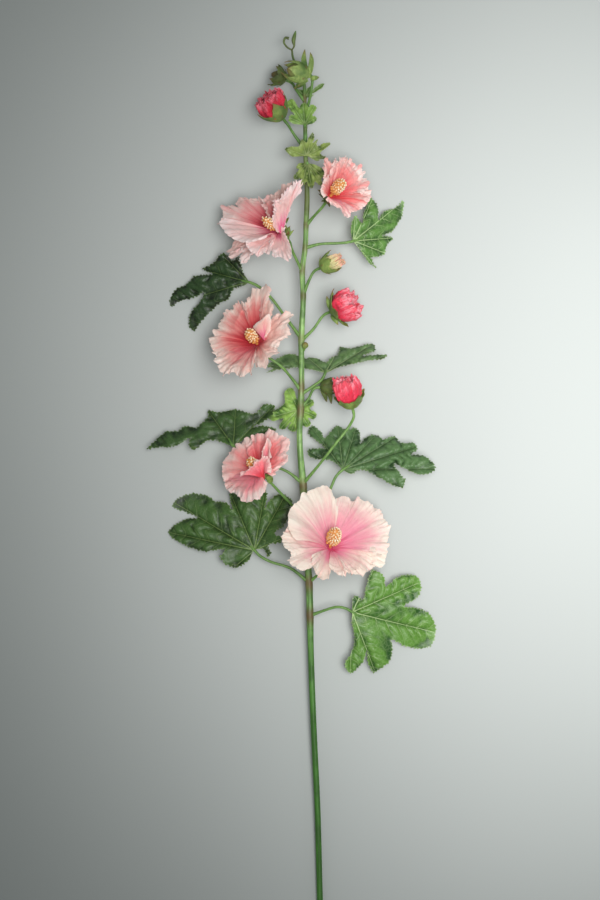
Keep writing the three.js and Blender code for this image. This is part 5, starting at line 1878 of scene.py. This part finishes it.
PALE = PetalFinish(
    "petal_pale", "#cc2e5a", "#e66c92", "#ecc6bd", "#f6e3d4", "#d2aa9c", 0.16, 0.76, 0.5, 0.2, "#f2869f")
CORAL = PetalFinish(
    "petal_coral", "#cc1a26", "#ee545e", "#f5aaa6", "#fadad3", "#d3a9a0", 0.34, 0.94, 0.6, 0.3)
PEACH = PetalFinish(
    "petal_peach", "#a80d1e", "#db4350", "#ebb0a5", "#f2d8cd", "#c2948a", 0.54, 0.78, 0.52, 0.24, "#f4669c")
ROSE = PetalFinish(
    "petal_rose", "#a01226", "#e2586c", "#f6c2be", "#fbe2df", "#c49a8e", 0.42, 0.62, 0.58, 0.2, "#f5609e")
WARM = PetalFinish(
    "petal_warm", "#d6222e", "#f0555c", "#f6a8a3", "#fbdcd5", "#e8a49c", 0.34, 0.84, 0.54, 0.5)
BUD_RED = PetalFinish(
    "petal_bud_red", "#bc1229", "#e02641", "#f24e66", "#fba2ae", "#c61c3a", 0.3, 0.8, 0.55, 0.75)
BUD_DEEP = PetalFinish(
    "petal_bud_deep", "#980c20", "#c01a34", "#e0384f", "#f07c8c", "#a8162c", 0.3, 0.8, 0.68, 0.75)
BUD_TIP = PetalFinish(
    "petal_bud_tip", "#a3b464", "#c9c888", "#e2c09c", "#f0a096", "#cfc78e", 0.5, 0.95, 0.72, 0.35)

FLOWERS = [
    Flower(
        "flower_low", [31, 413, 56], [0.3, 0.5, 0.81], 31, [[9.5, 375, 19], [18, 383, 24], [24, 392, 33]],
        [17, 30], PALE, [
            DrawnPetal([[-9, 437, 14], [-16, 431, 14], [-18.5, 425, 13], [-17.5, 415, 12], [-15, 410, 12],
                        [-9, 408, 13], [-9, 403, 12], [-12, 400, 12], [-9, 394, 11], [-5, 390, 10],
                        [2, 388, 9], [8, 390, 9], [13, 396, 9], [15, 404, 8]], 4, 1.1, 1.1, 0.1, 0.8, 0.5),
            DrawnPetal([[76, 394, 9], [84, 391, 10], [88, 394, 11], [90, 400, 12], [91, 407, 13]], 3, 1, 0.8),
            DrawnPetal([[46, 391, 9], [50, 386, 11], [56, 384, 12], [63, 383, 12], [69, 384.5, 12],
                        [73, 388, 13], [76, 392, 13], [79, 398, 14], [79, 404, 14], [77, 411, 14]],
                       3, 1.7, 1.0, 0.3, 1.2),
            DrawnPetal([[12, 404, 11], [13, 396, 12], [14, 388, 11], [18, 382.5, 10], [23, 379, 9],
                        [28, 378, 8], [31, 380.5, 7], [31.5, 387, 6], [34, 394, 5]], 3, 1.5, 0.8, 0.35, 1.3),
            DrawnPetal([[30, 394, 8], [33, 389, 9], [37, 385.5, 10], [41, 383, 10], [45, 381, 9],
                        [48, 382, 8], [49, 387, 8], [51, 393, 8]], 3, 1.6, 0.9, 0.2, 1.4),
            DrawnPetal([[33, 460, 17], [38, 464.5, 17], [44, 466.5, 18], [50, 467, 18], [55, 463.5, 17],
                        [58, 461.5, 16], [61, 465.5, 18], [66, 462, 18], [72, 458.5, 19], [80, 453.5, 20],
                        [86, 451, 20], [88, 446, 20], [90, 440, 21], [94, 434, 21], [94.5, 428, 21],
                        [92.5, 420, 20], [92.5, 413, 19], [91, 407, 18], [84, 403, 17]],
                       5, 0.7, 1.5, 0, 1.1, 0.3),
            DrawnPetal([[40, 452, 20], [37, 461, 21], [34, 468, 21], [31, 474, 21], [27, 477, 20],
                        [21, 476, 20], [14, 473, 20], [7, 470.5, 19], [2, 468, 19], [-1, 461, 18],
                        [-6, 457, 18], [-10, 453, 18], [-12.5, 446, 18], [-13, 437, 18], [-11, 430, 17],
                        [-8, 424, 17], [-3, 419.5, 16]], 6, 0.4, 0.95, 0, 0.5, 0.3)],
        1.5, [0.22, 0.66, 0.72]),
    Flower(
        "flower_left_low", [-41, 492, 54], [-0.55, 0.6, 0.58], 22,
        [[4.8, 441, 22], [-7, 455, 25], [-20, 469, 33]], [14, 34], CORAL, [
            DrawnPetal([[-52, 528, 15], [-57, 526.5, 16], [-62, 522.5, 16], [-68, 519, 17], [-73, 514, 17],
                        [-76, 508, 17], [-80, 500, 17], [-81.5, 492, 17], [-80, 483, 16], [-78, 474, 15]],
                       3, 0.9, 1.0, 0.4, 0.6),
            DrawnPetal([[-19, 518, 10], [-15, 512, 10], [-12, 508, 9], [-12, 504, 8], [-16, 500, 7],
                        [-21, 497, 6], [-26, 490, 4], [-29, 486.5, 3]], 3, 1.4, 1.2, 0, 1.2),
            DrawnPetal([[-56, 512, 14], [-55, 519, 16], [-52, 525, 17], [-48, 530, 17], [-43, 530.5, 17],
                        [-39, 531.5, 17], [-34, 536, 18], [-28, 534.5, 17], [-23, 531, 16],
                        [-18, 529.5, 15], [-13, 527.5, 14], [-11, 522, 13], [-13, 516, 12],
                        [-16, 511, 11]], 4, 1.1, 1.3, 0.1, 1.3),
            DrawnPetal([[-39, 507, 21], [-38.5, 514, 22], [-37, 521, 22], [-34, 527, 22], [-31, 524, 21],
                        [-31, 514, 20], [-30, 507, 18]], 2, 0.6, 0.9, 0, 0.6, 0.6, [-34, 497, 8]),
            DrawnPetal([[-81, 485, 13], [-79, 477, 13], [-74, 470.5, 13], [-69, 469.5, 12], [-65, 466, 12],
                        [-61, 461, 11], [-56, 459, 10], [-50, 461, 9], [-44, 462.5, 8], [-40, 467, 7],
                        [-36, 473, 5], [-34, 480, 3]], 5, 1.1, 1.1, 0, 1.0, 0.35),
            DrawnPetal([[-62, 486, 19], [-61, 491, 20], [-57, 492.5, 20], [-53, 496.5, 21],
                        [-48.5, 498.5, 21], [-46, 503, 21], [-42, 504.5, 21], [-39, 508, 20],
                        [-34, 508, 18], [-31.5, 503, 16], [-30, 497, 14], [-30, 490, 10]],
                       5, 1.2, 1.3, 0, 1.5, 0.2, [-37, 484, 3])], 1.1,
        slivers=[([[-31, 480, 44], [-33, 485, 50], [-38, 488, 55]], 6),
                 ([[-30, 481, 44], [-31, 487, 50], [-29, 491, 53]], 5)]),
    Flower(
        "flower_left_mid", [-44, 624, 58], [-0.4, 0.55, 0.73], 25,
        [[0.8, 577, 28.2], [-9, 590, 33], [-20, 602, 42]], [16, 32], PEACH, [
            DrawnPetal([[-42, 667, 14], [-37, 673, 15], [-32, 671.5, 15], [-28, 666, 14], [-29, 657, 11]],
                       3, 1.0, 0.5, 0.5),
            DrawnPetal([[-32, 646, 11], [-28, 653, 12], [-23, 657.5, 13], [-18, 659, 14], [-12, 659, 14],
                        [-7.5, 657, 14], [-10, 651, 13], [-13, 646, 12], [-11, 641, 11], [-11, 636, 10],
                        [-18, 631, 9], [-23, 626, 8], [-24, 620, 7], [-21, 616, 7], [-28, 614, 7],
                        [-34, 612, 8]], 3, 1.5, 0.7, 0.2, 0.6),
            DrawnPetal([[-59, 662, 18], [-57, 671, 19], [-54, 678, 20], [-50, 683.5, 20], [-45, 684.5, 20],
                        [-42, 686, 20], [-38, 688.5, 20], [-34, 687, 19], [-32, 683, 18],
                        [-34, 675, 17], [-37, 664, 15]], 4, 1.0, 1.2, 0.3, 0.45),
            DrawnPetal([[-46, 600, 15], [-43, 600.5, 16], [-38, 600, 15], [-35, 602, 14], [-33, 608, 11],
                        [-34, 616, 8]], 3, 1.1, 0.8, 0.15, 1.4),
            DrawnPetal([[-92, 618, 16], [-89, 611, 16], [-88, 605, 16], [-84, 599, 16], [-80, 592.5, 16],
                        [-74, 594, 16], [-69, 595, 16], [-65, 592, 16], [-61, 588.5, 16], [-58, 594, 16],
                        [-53, 595.5, 16], [-49, 603, 15], [-46, 611, 13]], 4, 1.5, 1.1, 0.0, 1.5, 0.2),
            DrawnPetal([[-56, 665, 18], [-60, 669, 18], [-66, 671.5, 18], [-71, 664, 18], [-77, 660.5, 18],
                        [-82, 655.5, 18], [-85, 646, 18], [-89, 640, 18], [-90, 634.5, 18],
                        [-94.5, 632, 18], [-94, 625, 18], [-91, 618, 17], [-87, 613, 16]],
                       5, 1.2, 1.35, 0.15, 0.6),
            DrawnPetal([[-49, 643, 13], [-46, 647, 17], [-41, 651.5, 20], [-37, 654.5, 20], [-33, 657.5, 18],
                        [-30, 650, 13], [-31, 642, 9], [-35, 632, 4]], 4, 0.4, 0.7, 0, 0.15, 0.9,
                       [-37, 629, 3])], 1.15),
    Flower(
        "flower_left_high", [-22, 740, 62], [-0.6, 0.48, 0.64], 27,
        [[2.4, 701, 32], [-2, 710, 36], [-8, 722, 44]], [13, 40], ROSE, [
            DrawnPetal([[-39, 772, 17], [-36, 779, 18], [-32, 783.5, 19], [-27, 782, 19], [-24, 787, 20],
                        [-20, 792, 20], [-14, 792.5, 20], [-11, 793, 20], [-9, 796, 20], [-4, 796.5, 19],
                        [-6, 787, 16]], 3, 1.5, 1.5, 0.9, 1.2),
            DrawnPetal([[-60, 738, 17], [-69, 735, 15], [-72, 729, 12], [-75.5, 724, 10], [-72, 715, 8],
                        [-66, 722, 8], [-62, 726, 8]], 2, 1.8, 0.8, 0.6, 1.2),
            DrawnPetal([[-64, 728, 11], [-62, 718, 9], [-60, 711, 8], [-56, 714, 8], [-52, 720, 9],
                        [-48, 726, 9]], 2, 1.8, 0.8, 0.5, 1.2),
            DrawnPetal([[-52, 729, 12], [-47, 719.5, 9], [-43, 719, 8], [-38, 722, 8], [-34, 720, 7],
                        [-30, 724, 6], [-29, 732, 5]], 2, 1.9, 0.8, 0.3, 1.4),
            DrawnPetal([[-31, 738, 4], [-31, 728, 5], [-29, 720, 5], [-26, 716, 5], [-22, 717.5, 5],
                        [-18, 716, 4], [-13, 713.5, 4], [-9, 718, 4], [-9.5, 727, 4], [-13, 737, 3],
                        [-16, 743, 2]], 2, 0.9, 0.7, 0, 0.45, 0.6),
            DrawnPetal([[-86.5, 752, 26], [-81, 758, 26], [-79.5, 769, 26], [-74, 770.5, 26],
                        [-69, 773, 26], [-66, 776.5, 26], [-61, 780, 26], [-53, 779, 25],
                        [-47, 780.5, 25], [-40.5, 779, 24], [-37, 773, 23], [-33, 765, 21],
                        [-30, 756, 18]], 4, 1.3, 1.7, 0.75, 0.5),
            DrawnPetal([[-57, 736, 17], [-56.5, 729, 16], [-52, 723.5, 15], [-46.5, 721.5, 13],
                        [-44, 728, 12]], 2, 0.7, 0.6, 0, 0.6),
            DrawnPetal([[-80, 758, 29], [-85, 753, 28], [-81, 747, 27], [-77, 741, 26], [-70, 736.5, 24],
                        [-60, 733, 22], [-50, 732.5, 19], [-42, 734.5, 16], [-35, 738, 12]],
                       4, 0.6, 0.75, 0, 0.2, 0.35),
            DrawnPetal([[-22, 743, 5], [-27, 750, 12], [-28.5, 757, 18], [-28, 764, 22], [-25, 769, 24],
                        [-27, 775, 26], [-23, 780, 27], [-17, 784.5, 27], [-12, 790, 27], [-5, 793, 26],
                        [-3, 797, 24], [1.5, 797, 22], [2.5, 793, 19], [-2, 787, 17], [-7, 779, 14],
                        [-10.5, 771, 11], [-10.5, 765, 9], [-15, 760, 7], [-16, 752, 4],
                        [-15.5, 744, 2]], 3, 2.3, 0.8, 0, 0.6, 0.85, [-19, 741, 1])], 0.9,
        slivers=[([[-12.5, 735.5, 58], [-14, 742, 62], [-14.5, 750, 60]], 4.5),
                 ([[-12.5, 738, 60], [-10, 742, 60], [-6.5, 745.5, 58]], 2.4),
                 ([[-13, 739, 60], [-11.5, 744, 61], [-11, 749, 60]], 3)]),
    Flower(
        "flower_right_high", [31, 777, 56], [0.45, 0.55, 0.7], 26,
        [[6.4, 749, 33.5], [14, 758, 37], [21, 765, 44]], [12, 46], WARM, [
            DrawnPetal([[24, 779, 7], [22, 785, 11], [23, 792, 15], [26, 799, 18], [30, 804, 19]],
                       3, 0.8, 1.1, 0, 1.3),
            DrawnPetal([[24.5, 800, 18], [25.5, 804, 19], [25, 810, 21], [26, 815, 22], [25, 819.5, 22],
                        [28.5, 821, 22], [32, 818, 22], [36, 817, 21], [41, 815, 21]], 3, 1.6, 0.7, 0.6, 1.2),
            DrawnPetal([[68, 797, 16], [71, 790, 16], [74, 786, 15], [74.5, 781, 15], [72, 776.5, 14],
                        [70, 773, 13]], 3, 1.5, 1.0, 0, 1.4),
            DrawnPetal([[71, 781, 12], [69.5, 773, 12], [66, 769, 11], [61, 766, 10], [56, 764, 9],
                        [52, 765, 7]], 3, 1.3, 1.35, 0.1, 1.3),
            DrawnPetal([[52, 819, 22], [56, 816.5, 22], [60, 814, 22], [64, 811, 22], [68, 807, 22],
                        [70.5, 802, 21], [71, 796, 20], [70, 789, 18], [66, 783, 16]], 4, 2.0, 1.2, 0, 2.0),
            DrawnPetal([[31, 806, 19], [33, 813, 20], [37, 820, 21], [41, 823, 22], [45, 821, 21],
                        [49, 822.5, 21], [53, 821, 21], [56, 817, 20], [59, 809, 19]], 4, 2.1, 1.1, 0, 2.0),
            DrawnPetal([[57, 768, 9], [54, 764, 9], [51, 758.5, 8], [47.5, 759, 8], [46, 764, 8],
                        [42, 767.5, 7], [37, 769.5, 6], [32, 773, 5], [27, 778, 5]],
                       3, 1.6, 0.85, 0, 1.2, 0.5)], 1.3, calyx="calyx_brown", lean=[0.55, 0.6, 0.58]),
]

BUDS = [
    Bud("bud_red_low", [54.5, 557, 44], [-0.22, 0.9, 0.36], 1.26, Opening.RUFFLED,
        [[3.2, 479, 24], [19, 498, 38], [37, 521, 46], [51, 539, 46]], BUD_RED, lifts=(48, 114),
        sepals=(12, 44, 64)),
    Bud("bud_pink_mid", [31, 658, 38], [0.86, 0.34, 0.38], 1.15, Opening.RUFFLED,
        [[1.5, 629, 30], [14, 641, 34]], BUD_RED, lifts=(30, 108), sepals=(16, 24, 52),
        slivers=[([[33, 661, 42], [30, 669, 46], [28, 676, 46]], 5),
                 ([[33, 656, 40], [37, 651, 43], [40, 646, 42]], 5)]),
    Bud("bud_red_high", [-17, 859, 40], [-0.62, 0.68, 0.38], 1.15, Opening.RUFFLED,
        [[5.6, 828, 35], [-7, 845, 39]], BUD_DEEP, lifts=(36, 106), sepals=(20, 40, 86), turn=2),
    Bud("bud_green_right", [20.5, 704, 38], [0.86, 0.4, 0.3], 1.05, Opening.TIP,
        [[3.4, 677, 31.3], [10, 693, 36]], BUD_TIP, lifts=(64, 108), sepals=(16, 62, 90), turn=8),
    Bud("bud_green_low", [20.5, 580, 25], [0.97, 0.16, 0.02], 0.95, Opening.CLOSED,
        [[0.9, 558, 27.2], [9, 568.5, 27.5]], calyx="calyx_brown", sepals=(15, 70, 96),
        slivers=[([[24, 580, 27], [31, 573, 25], [33, 563, 20]], 5),
                 ([[22, 578, 25], [26, 572, 24], [28, 565, 19]], 4.5)]),
    Bud("bud_green_top", [9.5, 903.5, 50], [-0.93, 0.22, 0.3], 1.35, Opening.CLOSED,
        [[5.2, 866, 35.4], [9.5, 878, 42], [12.2, 892, 47.5]], calyx="calyx_pale",
        sepals=(17, 74, 122), turn=34, neck=2.2, slivers=[
            ([[9, 905, 52], [6, 913, 57], [4, 924, 57], [5, 935, 52]], 6),
            ([[9, 906, 52], [11, 915, 57], [12, 924, 56], [11, 932, 52]], 5.5),
            ([[11, 904, 50], [15, 905, 52], [20, 906, 48]], 5),
            ([[7, 903, 50], [1, 899, 49], [-6, 894, 44]], 6),
            ([[8, 903, 50], [3, 901, 53], [-2, 896, 49]], 5)]),
    Bud("bud_brown_top", [-14, 902, 28], [-0.9, 0.42, 0.02], 0.95, Opening.CLOSED,
        [[4.9, 879, 35.5], [-4.5, 892, 34.5]], calyx="calyx_brown", sepals=(15, 54, 78)),
    Bud("bud_round", [4.4, 621, 33.4], [0.2, 0.6, 0.77], 0.5, Opening.CLOSED, [[1.6, 617, 29.6]]),
]

SHARED = {
    "stem": SkinFinish("skin_stem", "#467f2c", "#2f5420", "#684434", 0.75, 0.45, "#9cc678", 0.75),
    "stalk": SkinFinish("skin_stalk", "#668f45", "#44682f", "#6b4a3a", 0.75, 0.42, "#7a9f55", 0.5),
    "calyx": SkinFinish("skin_calyx", "#8ca254", "#4d6833", "#835638", 0.85, 0.6, streak=0.5),
    "calyx_pale": SkinFinish("skin_calyx_pale", "#99af63", "#45662f", "#8a6746", 0.9, 0.6, streak=0.5),
    "calyx_brown": SkinFinish("skin_calyx_brown", "#6c7c40", "#364321", "#66442e", 0.85, 0.6, streak=0.5),
    "anthers": AntherFinish("anther_grains", "#fff4d8", "#e6a556", "#d08a48"),
}


def main() -> None:
    """Builds the stem and all that grows on it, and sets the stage."""
    effects, growth = Effects(), Growth()
    finishes = {key: finish.material(effects) for key, finish in SHARED.items()}
    Studio().build()
    pieces = STEM.build(growth, finishes["stem"])
    for leaf in LEAVES:
        pieces += leaf.build(growth, effects, finishes["stalk"])
    for bloom in FLOWERS:
        pieces += bloom.build(growth, effects, finishes)
    for bud in BUDS:
        pieces += bud.build(growth, effects, finishes)
    total = 0
    for piece in pieces:
        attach(piece, "root")
        piece.data.calc_loop_triangles()
        total += len(piece.data.loop_triangles)
        LOG.info("%s: %d triangles", piece.name, len(piece.data.loop_triangles))
    LOG.info("%d pieces, %d triangles", len(pieces), total)


if __name__ == "__main__":
    logging.basicConfig(level=logging.INFO, format="%(name)s %(message)s")
    main()
